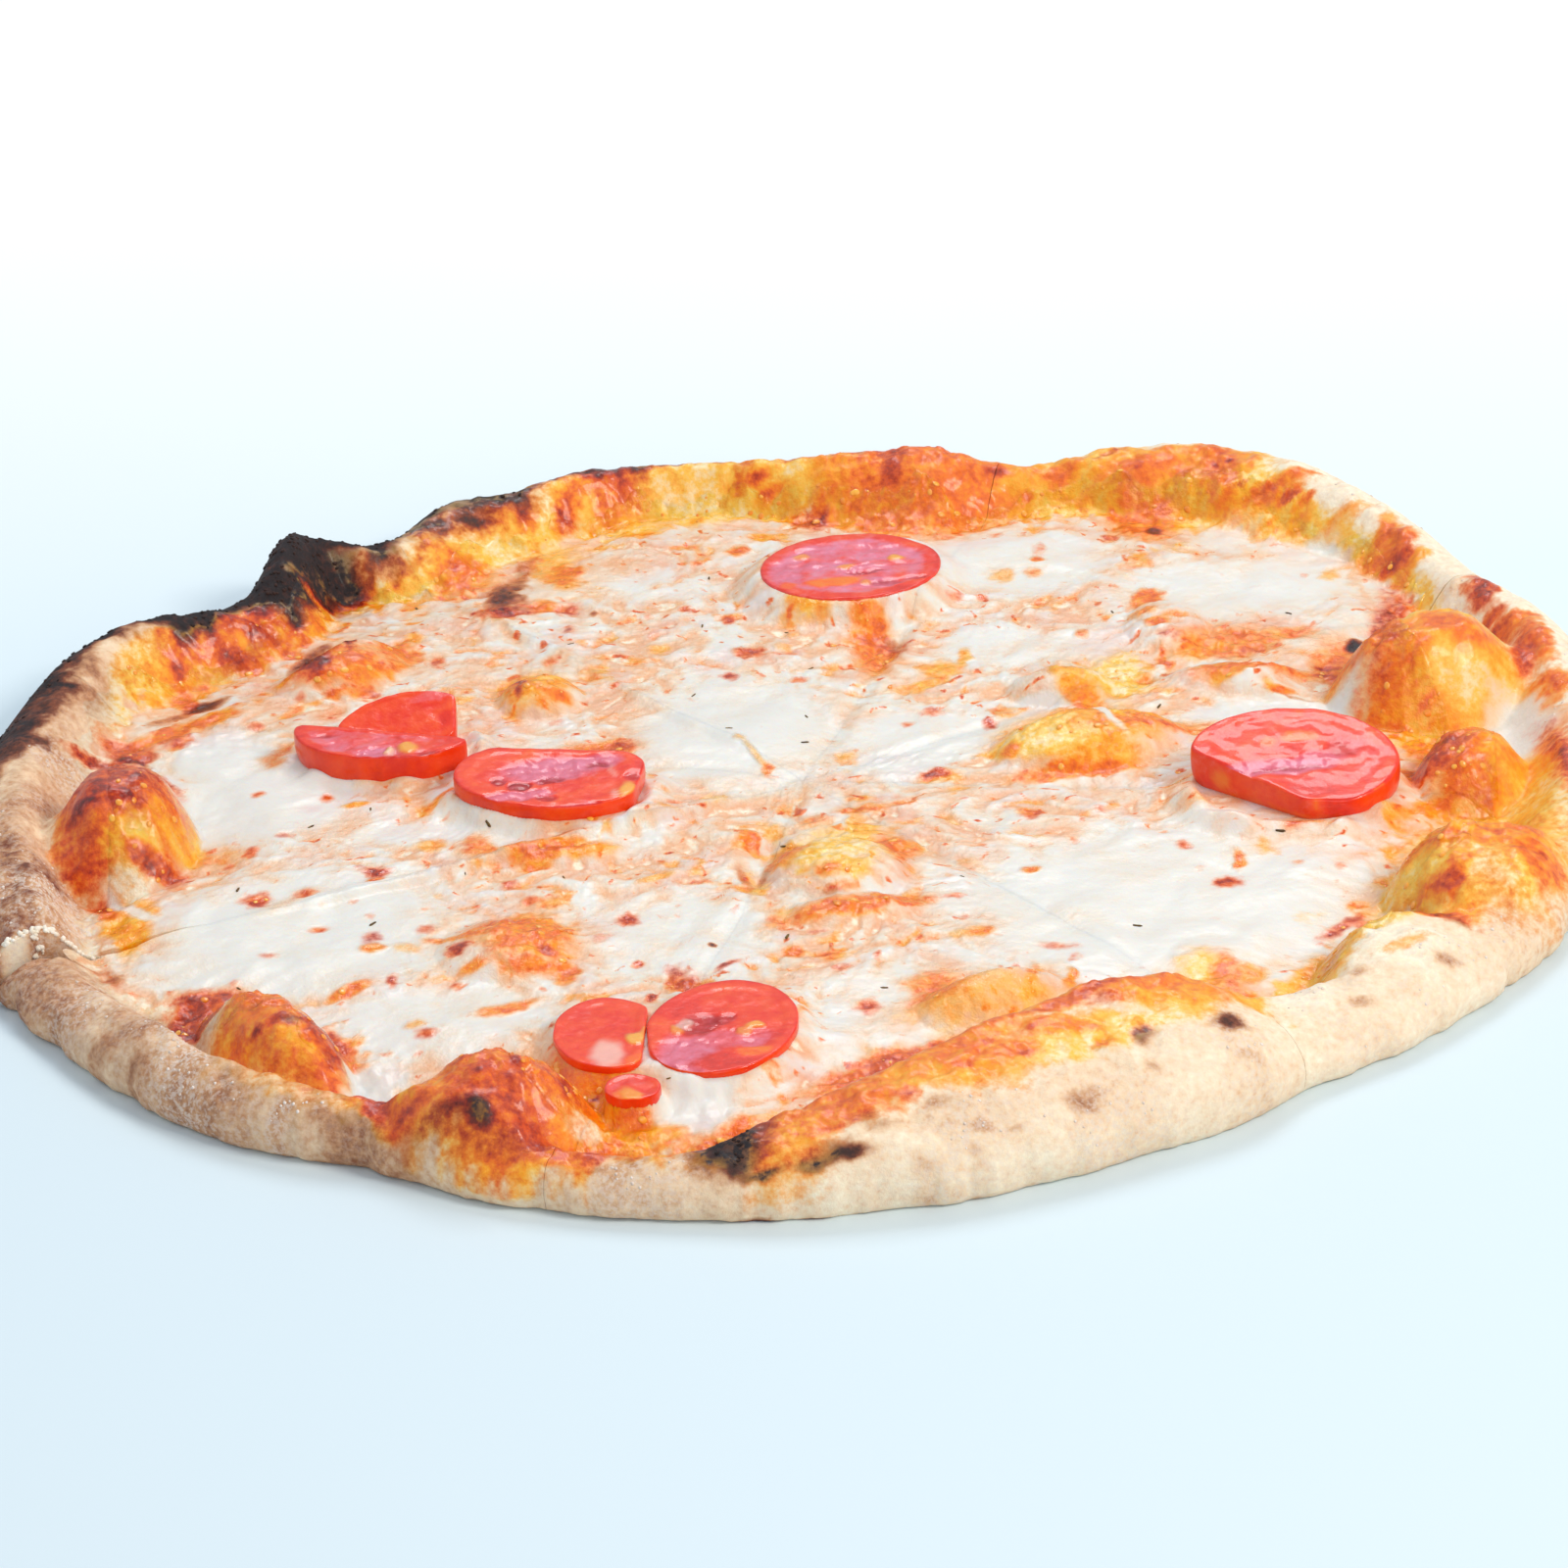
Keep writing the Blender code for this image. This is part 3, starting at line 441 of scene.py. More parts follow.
        (-21.5, 81.5, 1.6, 2.4, 4, 0.9), (-13.5, 76, 1.4, 2.3, 4, 0.9), (-10, 81.5, 0.8, 1.9, 4, 0.5),
        (14, 127, 1.9, 0.8, 4, 0.8), (20, 127, 3, 0.8, 4, 0.5), (51, 127.5, 1.7, 0.8, 4, 0.7),
        (60.5, 126, 1.3, 0.8, 4, 0.5), (24, 122, 2.5, 2.6, 4, 0.4), (33, 113, 1.7, 1.5, 4, 0.4),
        (44, 112, 2.1, 2.5, 4, 0.6), (52, 100.5, 2, 3.9, 4, 0.6), (33.5, 78, 2, 1.9, 4, 0.7),
        (38.5, 78.5, 1.4, 1.9, 4, 0.9), (57, 76, 1.8, 1.9, 4, 0.5), (105, 81.5, 1.2, 1.5, 4, 0.6),
        (-107.5, 39, 2.2, 2.3, 4, 0.9), (-108, 58, 2.7, 6.5, 4, 0.5), (-99.5, 50, 1.3, 1.4, 4, 0.7),
        (-93.5, 50, 1.4, 0.8, 4, 0.6), (-92.5, 42.5, 3.2, 4.1, 4, 0.6), (-105.5, 8.5, 1.7, 1.7, 4, 0.9),
        (-92, 5.5, 1.8, 1.8, 4, 0.9), (-110, -18.5, 1.3, 1.2, 4, 0.9), (-105.5, -15, 1.7, 2.9, 4, 0.9),
        (-115, -14.5, 1.3, 1.7, 4, 0.6), (-104, -35.5, 2.8, 3.6, 4, 1), (-95, -34.5, 2.1, 2, 4, 0.9),
        (-92, -48.5, 2.4, 1.6, 4, 0.9), (-100.5, -58.5, 2, 1.6, 4, 0.7),
        (-106.5, -67, 1.7, 1.6, 4, 0.6), (-91, -40, 1.3, 1.2, 4, 0.5), (-85.5, -39, 1.3, 1.2, 4, 0.6),
        (-82.5, -45, 1.5, 1.2, 4, 0.6), (-72.5, 64.5, 2.4, 2.8, 4, 1), (-49, 61, 2.2, 2.3, 4, 0.9),
        (-64.5, 77, 1.4, 1.4, 4, 0.4), (-37.5, 73.5, 1.4, 1.4, 4, 0.4), (-48, 32.5, 1.8, 2.2, 4, 0.6),
        (-28.5, 71, 2, 2.4, 4, 0.5), (-17, 54, 2.6, 1.8, 4, 0.5), (-55, 25, 1.6, 2.2, 4, 0.5),
        (-24.5, -7, 2.6, 1.3, 4, 0.7), (0, 46, 2.3, 1.8, 4, 0.9), (26, 26.5, 3.1, 2.2, 4, 0.8),
        (21, 22.5, 2, 1.4, 4, 0.8), (42.5, -19, 2.8, 2.9, 4, 1), (56, -20, 2.1, 1.6, 4, 0.6),
        (30.5, -11.5, 1.1, 0.8, 4, 0.7), (69.5, -18, 5.6, 1.3, 4, 0.6), (123, -23.5, 1.9, 0.8, 4, 0.7),
        (77.5, -52.5, 3.3, 3.5, 4, 1), (70.5, -36.5, 1.7, 2, 4, 0.9), (91.5, -33, 2.9, 2.1, 4, 0.8),
        (99, -47, 1.5, 2, 4, 0.7), (91, -47, 1.5, 1.6, 4, 0.7), (72.5, -46, 1.1, 1.2, 4, 0.5),
        (73.5, -66, 1.6, 1.5, 4, 0.3), (27.5, -59.5, 1.3, 1.6, 4, 0.6), (27, -51.5, 1.8, 1.6, 4, 0.8),
        (44, -73, 4.2, 1.6, 159, 0.7), (47.5, -78, 1.4, 1.9, 4, 0.5), (2.5, -71.5, 2.2, 2.3, 4, 0.7),
        (11.5, -73.5, 1.1, 1.6, 4, 0.8), (5, -77, 2.3, 1.5, 4, 0.7), (-57, -35.5, 2.1, 2.4, 4, 0.9),
        (-52.5, -42.5, 2, 2, 4, 0.9), (-62.5, -44, 1.1, 1.2, 4, 0.9), (-72, -44, 1, 0.8, 4, 0.6),
        (-32.5, -70, 1.4, 1.6, 4, 1), (-66, -74, 1.8, 2.3, 4, 0.8), (-25, -48.5, 0.9, 0.8, 4, 0.6),
        (-23, -40, 4.8, 2, 4, 0.35),
    ),
    "rust": (  # dark red spots
        (-46, 130, 5.1, 2.2, 64, 0.8), (-59.5, 85.5, 5.7, 3.4, 4, 1), (-45.5, 86, 2.6, 3.4, 4, 0.8),
        (-5.5, 137, 1.9, 0.8, 4, 0.7), (6, 124.5, 3.6, 5.1, 4, 1), (119, 53, 28.9, 4, 81, 0.85),
        (-124, 65.5, 1.8, 1.7, 4, 1), (-113.5, 71.5, 3.4, 1.7, 4, 1), (-123, 35.5, 4, 2.7, 4, 0.7),
        (-84.5, 50.5, 1.8, 1.8, 4, 0.7), (-130.5, -13, 5.2, 3.8, 4, 1), (-140, 29, 4.5, 2.7, 4, 1),
        (-124.5, 18.5, 8.6, 1.6, 120, 0.8), (-126.5, -14.5, 1.6, 2.2, 4, 0.8),
        (-138, -22.5, 2.1, 0.9, 4, 0.8), (-119.5, -22, 3.1, 4.5, 4, 0.6), (-104, -37, 1.7, 2, 4, 0.9),
        (-100, -9.5, 2.3, 1.7, 4, 0.7), (-82, -27, 3, 2.9, 4, 1), (-81.5, -53.5, 2.4, 2.4, 4, 0.8),
        (-77.5, -72, 1.3, 2.7, 4, 1), (-45.5, 76, 1.6, 2.4, 4, 0.6), (-13, 49, 2, 1.9, 4, 0.9),
        (-34.5, 20, 2.8, 2.6, 4, 0.5), (-1, 57.5, 2, 1.4, 4, 0.6), (37, 21, 1.7, 2.2, 4, 1),
        (25, -0.5, 3, 2.1, 4, 1), (104, 36, 4, 1.1, 4, 0.6), (121.5, 12.5, 2.7, 0.8, 4, 0.5),
        (74.5, 53.5, 2.7, 2.4, 4, 0.6), (121.5, -13.5, 4, 7.8, 4, 0.5), (144, -15.5, 3.5, 18.7, 4, 0.9),
        (133.5, -68.5, 1.3, 0.8, 4, 0.7), (96.5, -69.5, 8, 1.7, 44, 0.9), (77, -52.5, 2.2, 2, 4, 0.8),
        (9, -92.5, 2.7, 2.9, 4, 0.8), (0.5, -62.5, 2.5, 1.2, 4, 0.6), (-72, -52, 1.9, 2, 4, 0.8),
        (-66, -64, 2.5, 3, 4, 0.9), (-34, -52.5, 2.4, 2.3, 4, 1), (-39, -60, 2, 2.4, 4, 0.6),
        (-16, -73.5, 3.9, 1, 39, 0.9), (-24.5, -77, 3.2, 4.9, 4, 0.8), (-70.5, -91.5, 2.5, 1.9, 4, 0.9),
        (-73.5, -131, 3.1, 1.1, 4, 1), (-40.5, -144.5, 2.7, 2.6, 4, 0.8),
        (-54.5, -129.5, 5.8, 1.7, 4, 0.5), (-63, -131.5, 3.2, 1.9, 4, 0.5),
        (50.5, -117.5, 5.2, 1.6, 4, 0.6), (10.5, -114, 10, 3.2, 4, 0.5), (24.5, -134, 2.7, 1.3, 4, 0.6),
        (14, -141.5, 2.4, 1.3, 4, 0.6), (35, -132, 2, 1, 4, 0.6), (-134, -7, 6, 13, 4, 0.8),
        (-125, -7.5, 7, 9.1, 4, 0.8), (-123.5, -22.5, 5.3, 0.9, 4, 0.8), (-0.5, -147, 5.2, 1.9, 4, 0.5),
        (126, 26, 5.1, 3.3, 4, 0.6), (113, -70.5, 2.3, 1.7, 4, 0.5),
    ),
    "brown": (  # browned
        (-92, 106.5, 3.6, 1.3, 4, 1), (-69, 108, 1.2, 1.1, 4, 0.7), (-40.5, 82, 1.2, 1.9, 4, 1),
        (-8.5, 139.5, 2.3, 4.5, 4, 0.7), (57.5, 162, 4.5, 3.2, 4, 0.8), (69, 133, 5.8, 1.5, 32, 0.8),
        (90.5, 124, 1.3, 1.4, 4, 1), (95, 116.5, 2.5, 0.8, 4, 1), (21, 59, 3, 6.1, 4, 0.9),
        (68.5, -14.5, 5.7, 0.9, 2, 0.6), (105.5, 39.5, 3.9, 2, 4, 1), (97.5, 25.5, 6.6, 1, 165, 0.7),
        (96, -99.5, 2, 1.5, 4, 0.7), (4, -49, 2.9, 2.7, 4, 0.8), (-12.5, -38.5, 8, 1.4, 99, 0.8),
        (-8.5, -36, 7.1, 1.4, 69, 0.8), (-47.5, -19, 7.6, 0.9, 11, 0.9),
        (-85.5, -103.5, 1.5, 2.6, 4, 0.8), (-98.5, -101.5, 2.5, 0.8, 4, 0.6),
        (-97, -105.5, 1.3, 0.8, 4, 0.7), (-54.5, -134.5, 4.5, 2.1, 4, 0.7),
        (-51.5, -136, 5.5, 1.9, 4, 0.6), (-15.5, -142, 9.3, 12.6, 4, 0.75), (6, -146, 3.1, 1.7, 4, 0.9),
        (2, -141, 2.1, 1.6, 4, 0.6), (48, -125, 1.1, 1.2, 4, 0.7), (29.5, -100.5, 2.8, 0.8, 4, 0.8),
        (-90, 104, 1.6, 1.2, 4, 0.7), (-134, -57.5, 5.6, 1.3, 1, 0.8), (-58, -132, 2.4, 1.2, 4, 0.6),
        (-48.5, -125, 2.5, 1.8, 4, 0.6), (11.5, -110, 1.4, 1.1, 4, 0.6), (29, -128, 1.4, 1.1, 4, 0.6),
        (36, -125.5, 1.2, 1.1, 4, 0.6), (-0.5, -142, 1.7, 1.5, 4, 0.6), (116, 23, 5.5, 2, 4, 0.6),
        (-138.5, -66.5, 3.2, 2.3, 4, 0.6), (-130, -62, 4, 3.7, 4, 0.6),
        (-126.5, -91.5, 4.7, 2.4, 4, 0.6), (-121.5, -100, 3.6, 1.1, 4, 0.6),
        (-115, -108, 4.5, 1.1, 4, 0.6), (-106.5, -115.5, 5.4, 1.1, 4, 0.5),
        (-95.5, -123, 5, 0.8, 4, 0.5), (-84.5, -128.5, 5.6, 0.8, 4, 0.4),
        (48, -130.5, 2.8, 1.4, 4, 0.6), (26.5, -140.5, 2.4, 1.1, 4, 0.5), (9.5, -148, 3.7, 1.3, 4, 0.6),
    ),
    "dark": (  # deeply browned
        (-99.5, 93.5, 8.5, 2.2, 4, 0.8), (-47, 129, 1.4, 0.8, 4, 0.7), (-59, 94.5, 5.5, 9.7, 4, 1),
        (-55, 109, 12.3, 3, 78, 0.7), (-39, 138, 1.1, 1.2, 4, 0.8), (-32, 141, 1.5, 1.5, 4, 0.7),
        (-23, 173.5, 3, 2.6, 4, 0.7), (40.5, 171, 2.1, 1.1, 4, 0.6), (74, 126.5, 1.6, 0.8, 4, 0.7),
        (93.5, 124, 1.1, 0.8, 4, 1), (-97.5, 65, 5, 11.7, 4, 1), (-95.5, 57.5, 2.1, 3.4, 4, 1),
        (-97.5, 73.5, 8.9, 2, 62, 0.8), (-90, 66, 1.8, 4.5, 4, 1), (-119, 53, 6.2, 3, 37, 1),
        (-118.5, 52.5, 4, 3.2, 4, 1), (-126, 47, 5.3, 2, 29, 0.7), (-137, -14.5, 2.5, 2.2, 4, 0.8),
        (-132.5, 30, 6.9, 1.6, 140, 0.9), (-150, -43.5, 2.1, 1.6, 4, 0.6),
        (-55, 46.5, 1.9, 7.5, 4, 0.9), (134, -64.5, 1.3, 0.9, 4, 0.7), (116, -84, 2.6, 1.2, 136, 0.7),
        (-94.5, -98.5, 3.9, 1.9, 4, 0.95), (-100.5, -99, 1.6, 0.8, 4, 0.8),
        (-64, -134.5, 4.4, 1.7, 4, 0.7), (-53.5, -126, 0.9, 1.8, 4, 0.8),
        (-59.5, -129, 0.9, 1.1, 4, 0.8), (-45, -125.5, 1.5, 3.9, 4, 0.7),
        (-40.5, -117, 1.2, 0.8, 4, 0.9), (-16, -152, 2.4, 1.5, 4, 0.9), (0, -152.5, 7.7, 2.3, 4, 0.7),
        (-93, 104, 3.7, 2.3, 4, 0.9), (-129, -14.5, 2.6, 1.4, 4, 0.5),
    ),
    "char": (  # burnt
        (-100.5, 96, 9.5, 3.5, 4, 1), (-113.5, 120.5, 7.5, 5.2, 4, 1), (-119, 112.5, 7.5, 5.2, 4, 1),
        (76, 109, 2.2, 3, 4, 0.85), (112, 48, 3.3, 3.7, 4, 0.9), (-19, -65.5, 1.3, 1.1, 4, 0.8),
        (-60, -136.5, 2.4, 2.1, 4, 0.9), (-17, -146, 7.5, 6.5, 4, 0.95),
        (-11.5, -154, 4.4, 1.2, 4, 0.9), (3.5, -153, 4.4, 1.3, 4, 0.85), (-3, -154, 3.4, 1.2, 4, 0.85),
        (56, -127.5, 2.4, 2.9, 4, 0.75), (71, -122, 3.1, 2.5, 4, 0.8), (-96, 102, 8.5, 4.7, 4, 1),
        (-101.5, 89, 5.5, 2.2, 4, 0.9), (-158, 73.5, 11.7, 2.2, 72, 0.8),
        (-146.5, 76.5, 12.2, 2.4, 141, 0.9), (-133.5, 88.5, 19, 1.6, 119, 0.8),
        (-117, 80.5, 12.2, 2.4, 45, 1), (-82, 131.5, 23.4, 2, 79, 1), (-72, 158, 8.9, 1.8, 37, 1),
        (112, 48, 3.3, 3.3, 4, 0.85),
    ),
    "pink": (  # whey tinted by tomato
        (-100, 43.5, 2.8, 4.1, 4, 0.6), (-95.5, 1, 2.7, 1.7, 4, 0.6), (-59.5, 67.5, 2.4, 2.3, 4, 0.5),
        (0, 58.5, 2.4, 2.8, 4, 0.8), (62.5, 54.5, 8, 5.5, 4, 0.5), (15, -9, 3.4, 1.7, 4, 0.7),
        (-5, -64, 2.2, 2, 4, 0.7), (18, -34, 12.7, 2, 84, 0.8), (-19, -31.5, 4.1, 2.8, 4, 0.5),
        (-57, -28, 2.5, 2, 4, 0.8),
    ),
}
print(sum(len(patches) for patches in PATCHES.values()), "patches of", len(PATCHES), "kinds")

# %% [markdown]
# ### What a patch does
# Six numbers describe any point of the surface: how thick the white cheese lies, how red
# the stained fat is and how much of it there is, how far the place is toasted, how floury
# it is, and how pink the whey has turned. Each kind of patch pulls some of them towards a
# value, as one coat of paint covers another.

# %% Kinds of patch
CHANNELS = ("cheese", "oil", "fat", "toast", "flour", "blush")
KINDS = {  # what is set, how red the fat is, how much of it, and how soft the edge is
    "cream": ({"cheese": 0, "fat": 0, "toast": 0.05}, 0, 0, 0.5),
    "toast": ({"toast": 0.5}, 0, 0, 0.9),
    "soft": ({"toast": 0.62}, 0, 0, 0.9),
    "flour": ({"flour": 1}, 0, 0, 0.9),
    "tan": ({"cheese": 0.3}, 0.25, 0.55, 0.8),
    "olive": ({}, 0.2, 0.55, 0.9),
    "gold": ({"cheese": 0.3}, 0.38, 1, 0.7),
    "glow": ({"cheese": 0.1}, 0.1, 1, 0.7),
    "orange": ({"cheese": 0.3}, 0.6, 1, 0.7),
    "red": ({"cheese": 0.3}, 0.84, 1, 0.6),
    "peach": ({"cheese": 0.35}, 0.5, 0.3, 0.9),
    "white": ({"cheese": 1, "fat": 0, "toast": 0}, 0, 0, 0.5),
    "spot": ({"toast": 0.3}, 0.74, 0.9, 1.0),
    "rust": ({"toast": 0.36}, 0.9, 0.95, 0.95),
    "brown": ({"toast": 0.62}, 0, 0, 0.8),
    "dark": ({"toast": 0.82}, 0, 0, 0.8),
    "char": ({"toast": 1.0}, 0, 0, 0.7),
    "pink": ({"blush": 1.0}, 0, 0, 0.8),
}
RIM_TAN = (  # (angle, how tanned the rim is all over)
    (0, 0.12), (30, 0.08), (60, 0.08), (74, 0.2), (90, 0.24), (125, 0.34), (150, 0.42),
    (170, 0.44), (200, 0.54), (215, 0.5), (235, 0.42), (250, 0.36), (262, 0.26),
    (280, 0.16), (305, 0.2), (318, 0.18), (330, 0.3), (345, 0.26),
)
RIM_CHAR = (  # (angle, how burnt the outer edge is, width of the burn)
    (0, 0, 3), (66, 0, 2), (76, 0.5, 5), (90, 0.75, 7), (105, 0.85, 9), (118, 0.95, 12),
    (130, 1, 12), (150, 1, 14), (168, 0.95, 14), (178, 0.7, 10), (190, 0.3, 4), (205, 0, 3),
    (300, 0, 3),
)
RIM_OIL = (  # (angle, stained fat on the inner slope, and on the crest)
    (0, 0.4, 0.04), (20, 0.3, 0.0), (30, 0.16, 0.0), (45, 0.22, 0.0), (60, 0.34, 0.3),
    (70, 0.16, 0.2), (80, 0.36, 0.4), (95, 0.2, 0.24), (105, 0.1, 0.2), (118, 0.1, 0.1),
    (130, 0.26, 0.04), (142, 0.5, 0.04), (152, 0.4, 0.0), (160, 0.1, 0), (172, 0.0, 0),
    (185, 0.0, 0), (200, 0.05, 0), (216, 0.0, 0), (228, 0.5, 0.1), (238, 0.6, 0.15),
    (248, 0.62, 0.5), (258, 0.5, 0.4), (268, 0.42, 0.5), (282, 0.44, 0.52), (300, 0.42, 0.46),
    (312, 0.2, 0.02), (326, 0.3, 0), (340, 0.4, 0.1),
)
WHITE_AREAS = (  # (x, y, half length, half width, turn, strength) of smooth thick cheese
    (-96, -50, 34, 30, 0, 1), (-105, 8, 24, 26, 0, 0.9), (64, -58, 46, 34, -10, 1),
    (-12, 24, 24, 28, 0, 1), (24, 18, 20, 12, 0, 0.9), (42, 96, 32, 18, -15, 0.9),
    (46, 55, 22, 10, 0, 0.8), (92, 78, 32, 18, 0, 0.9), (100, 12, 28, 10, 0, 0.8),
    (-70, -86, 28, 14, 0, 0.9), (-24, -60, 20, 18, 0, 0.8), (14, -92, 16, 20, 0, 0.7),
    (-38, 96, 26, 10, 0, 0.5), (-70, -12, 26, 8, 0, 0.6), (110, 52, 16, 12, 0, 0.5),
)


def openness(x, y):
    """1 where the cheese is thin, blistered and stained, 0 where it lies thick and smooth."""
    wandered = drifted(x, y, 14, 4, 41)
    thick = np.zeros_like(x)
    for area in WHITE_AREAS:
        thick = np.maximum(thick, area[5] * (1 - ease(oval(*wandered, area), 0.5, 1.15)))
    return 1 - thick


def lumps(x, y):
    """The lumps of half-melted cheese: high where white, low where fat runs."""
    bent = drifted(x, y, 16, 6, 91)
    return rough(*bent, 5.2, 95, 3)


def stained(state, near, hue, amount):
    """Fat of a given redness laid over what is there."""
    before = state["fat"][near] * (1 - amount)
    state["oil"][near] = (
        (state["oil"][near] * before + hue * amount) / np.maximum(before + amount, 1e-6)
    )
    state["fat"][near] = before + amount


def baked(x, y, rim_share):
    """The six numbers for each point; rim_share is 0 at the rim's foot, 1 at its crest."""
    angle, radius = polar(x, y)
    inset = around(OUTLINE, angle) - radius
    coarse, fine = rough(x, y, 17, 11), rough(x, y, 4.2, 21)
    bare, lump = openness(x, y), lumps(x, y)
    cheese = 0.97 - 0.42 * bare + (0.1 + 0.34 * bare) * lump + (0.18 + 0.1 * bare) * coarse
    cheese = np.clip(cheese, 0, 1) * (1 - ease(rim_share + 0.3 * coarse + 0.2 * fine, -0.1, 0.5))
    on_rim = ease(rim_share, 0.1, 0.8)
    tan = around(RIM_TAN, angle) * (1 + 0.45 * coarse + 0.2 * fine) * on_rim
    burn = around(RIM_CHAR, angle)
    width = around(RIM_CHAR, angle, 2)
    edge = ease(width * (1 + 0.4 * coarse + 0.15 * fine) - inset, -0.4 * width, 0.45 * width)
    slope_oil, crest_oil = around(RIM_OIL, angle), around(RIM_OIL, angle, 2)
    along = ease(rim_share + 0.15 * coarse, 0.35, 1.0)
    rim_oil = slope_oil * (1 - along) + crest_oil * along
    rim_fat = ease(rim_oil * (1 + 0.4 * coarse), 0.02, 0.16)
    rim_fat *= ease(rim_share + 0.3 * coarse + 0.25 * fine, 0.0, 0.4)
    rim_fat *= 1 - ease(rim_share + 0.2 * coarse + 0.15 * fine, 1.0, 1.4)
    state = {
        "cheese": cheese,
        "oil": np.clip(rim_oil * (1 + 0.4 * rough(x, y, 7, 33)) + 0.1 * fine, 0, 1),
        "fat": np.clip(rim_fat, 0, 1),
        "toast": np.clip(np.maximum(tan, burn * edge), 0, 1),
        "flour": np.clip(on_rim * (0.25 + 0.35 * coarse), 0, 1) * (1 - burn * edge),
        "blush": np.clip(0.6 * rough(x, y, 11, 51) + 0.1, 0, 1) * (1 - on_rim) * bare,
    }
    everywhere = slice(None)
    off_rim = 1 - ease(rim_share, 0.0, 0.7)
    smear = ease(rough(*drifted(x, y, 7, 4, 35), 10, 37, 4) - 0.4 * lump, 0.1, 1.0)
    stained(state, everywhere, 0.5 + 0.2 * fine, 0.75 * smear * bare * off_rim)
    freckle = ease(rough(*drifted(x, y, 5, 2, 45), 2.8, 47, 2), 0.46, 0.85)
    stained(state, everywhere, 0.78, 0.85 * freckle * (0.18 + 0.82 * bare) * off_rim)
    push_x = 2.0 * noise(x, y, 8, 61) + 1.1 * noise(x, y, 2.4, 63)
    push_y = 2.0 * noise(x, y, 8, 62) + 1.1 * noise(x, y, 2.4, 64)
    for kind, patches in PATCHES.items():
        aims, hue, amount, soft = KINDS[kind]
        for patch in patches:
            reach = max(patch[2], patch[3]) * 1.6 + 4
            near = (abs(x - patch[0]) < reach) & (abs(y - patch[1]) < reach)
            if not near.any():
                continue
            push = min(1.0, patch[3] / 5)
            out = oval(x[near] + push * push_x[near], y[near] + push * push_y[near], patch)
            share = patch[5] * (1 - ease(out, 0.9 - 0.8 * soft, 1.1 + 0.5 * soft))
            for channel, aim in aims.items():
                here = state[channel][near]
                state[channel][near] = here + (aim - here) * share
            if amount:
                stained(state, near, hue + 0.13 * fine[near], amount * share)
    state["flour"] *= (1 - ease(state["toast"], 0.55, 0.8)) * (1 - 0.95 * state["fat"])
    state["fat"] *= 1 - ease(state["toast"], 0.88, 1.0)
    return state


trial = baked(np.linspace(-150, 150, 400), np.zeros(400), np.zeros(400))
print({channel: float(values.mean().round(2)) for channel, values in trial.items()})

# %% [markdown]
# ## One slice as a closed shell
# A slice has a top, an underside and two cut walls. Its top is a fan of lines that run
# from the crossing to the edge. Towards the middle the lines crowd together, so every
# second one stops there, then every fourth. The underside rests flat and needs few faces.

# %% Directions of the cuts


def cut_side(number, side, radius):
    """Direction of one side of a cut, which bows and opens at the rim."""
    direction, bow, gape = CUTS[number % len(CUTS)]
    direction += 360 * (number // len(CUTS))
    half_gap = gape / 2 * ease(radius, GAPE_START, BOW_LENGTH)
    aside = bow * np.sin(np.pi * np.minimum(1, radius / BOW_LENGTH)) + side * half_gap
    return direction + np.degrees(np.arctan2(aside, np.maximum(radius, 1e-6)))


def slice_direction(number, share, radius):
    """Direction of the line that lies a share of the way across a slice."""
    start, end = cut_side(number, 1, radius), cut_side(number + 1, -1, radius)
    return start + (end - start) * share


LINES_PER_DEGREE = 4.2
SLICES = range(len(CUTS))


def line_count(number):
    """How many lines cross a slice's rim: a multiple of eight."""
    width = slice_direction(number, 1.0, BOW_LENGTH) - slice_direction(number, 0.0, BOW_LENGTH)
    return 8 * round(float(width) * LINES_PER_DEGREE / 8)


print("lines across each slice:", [line_count(number) for number in SLICES])

# %% Joining two rings of points


def band(inner, outer):
    """Triangles between two rings, the outer one as fine as the inner or finer."""
    step = (len(outer) - 1) // (len(inner) - 1)
    start = np.arange(len(inner) - 1)
    faces = [(inner[start], outer[start * step + k], outer[start * step + k + 1])
             for k in range(step)]
    faces.append((inner[start], outer[(start + 1) * step], inner[start + 1]))
    return np.concatenate([np.stack(face, 1) for face in faces])


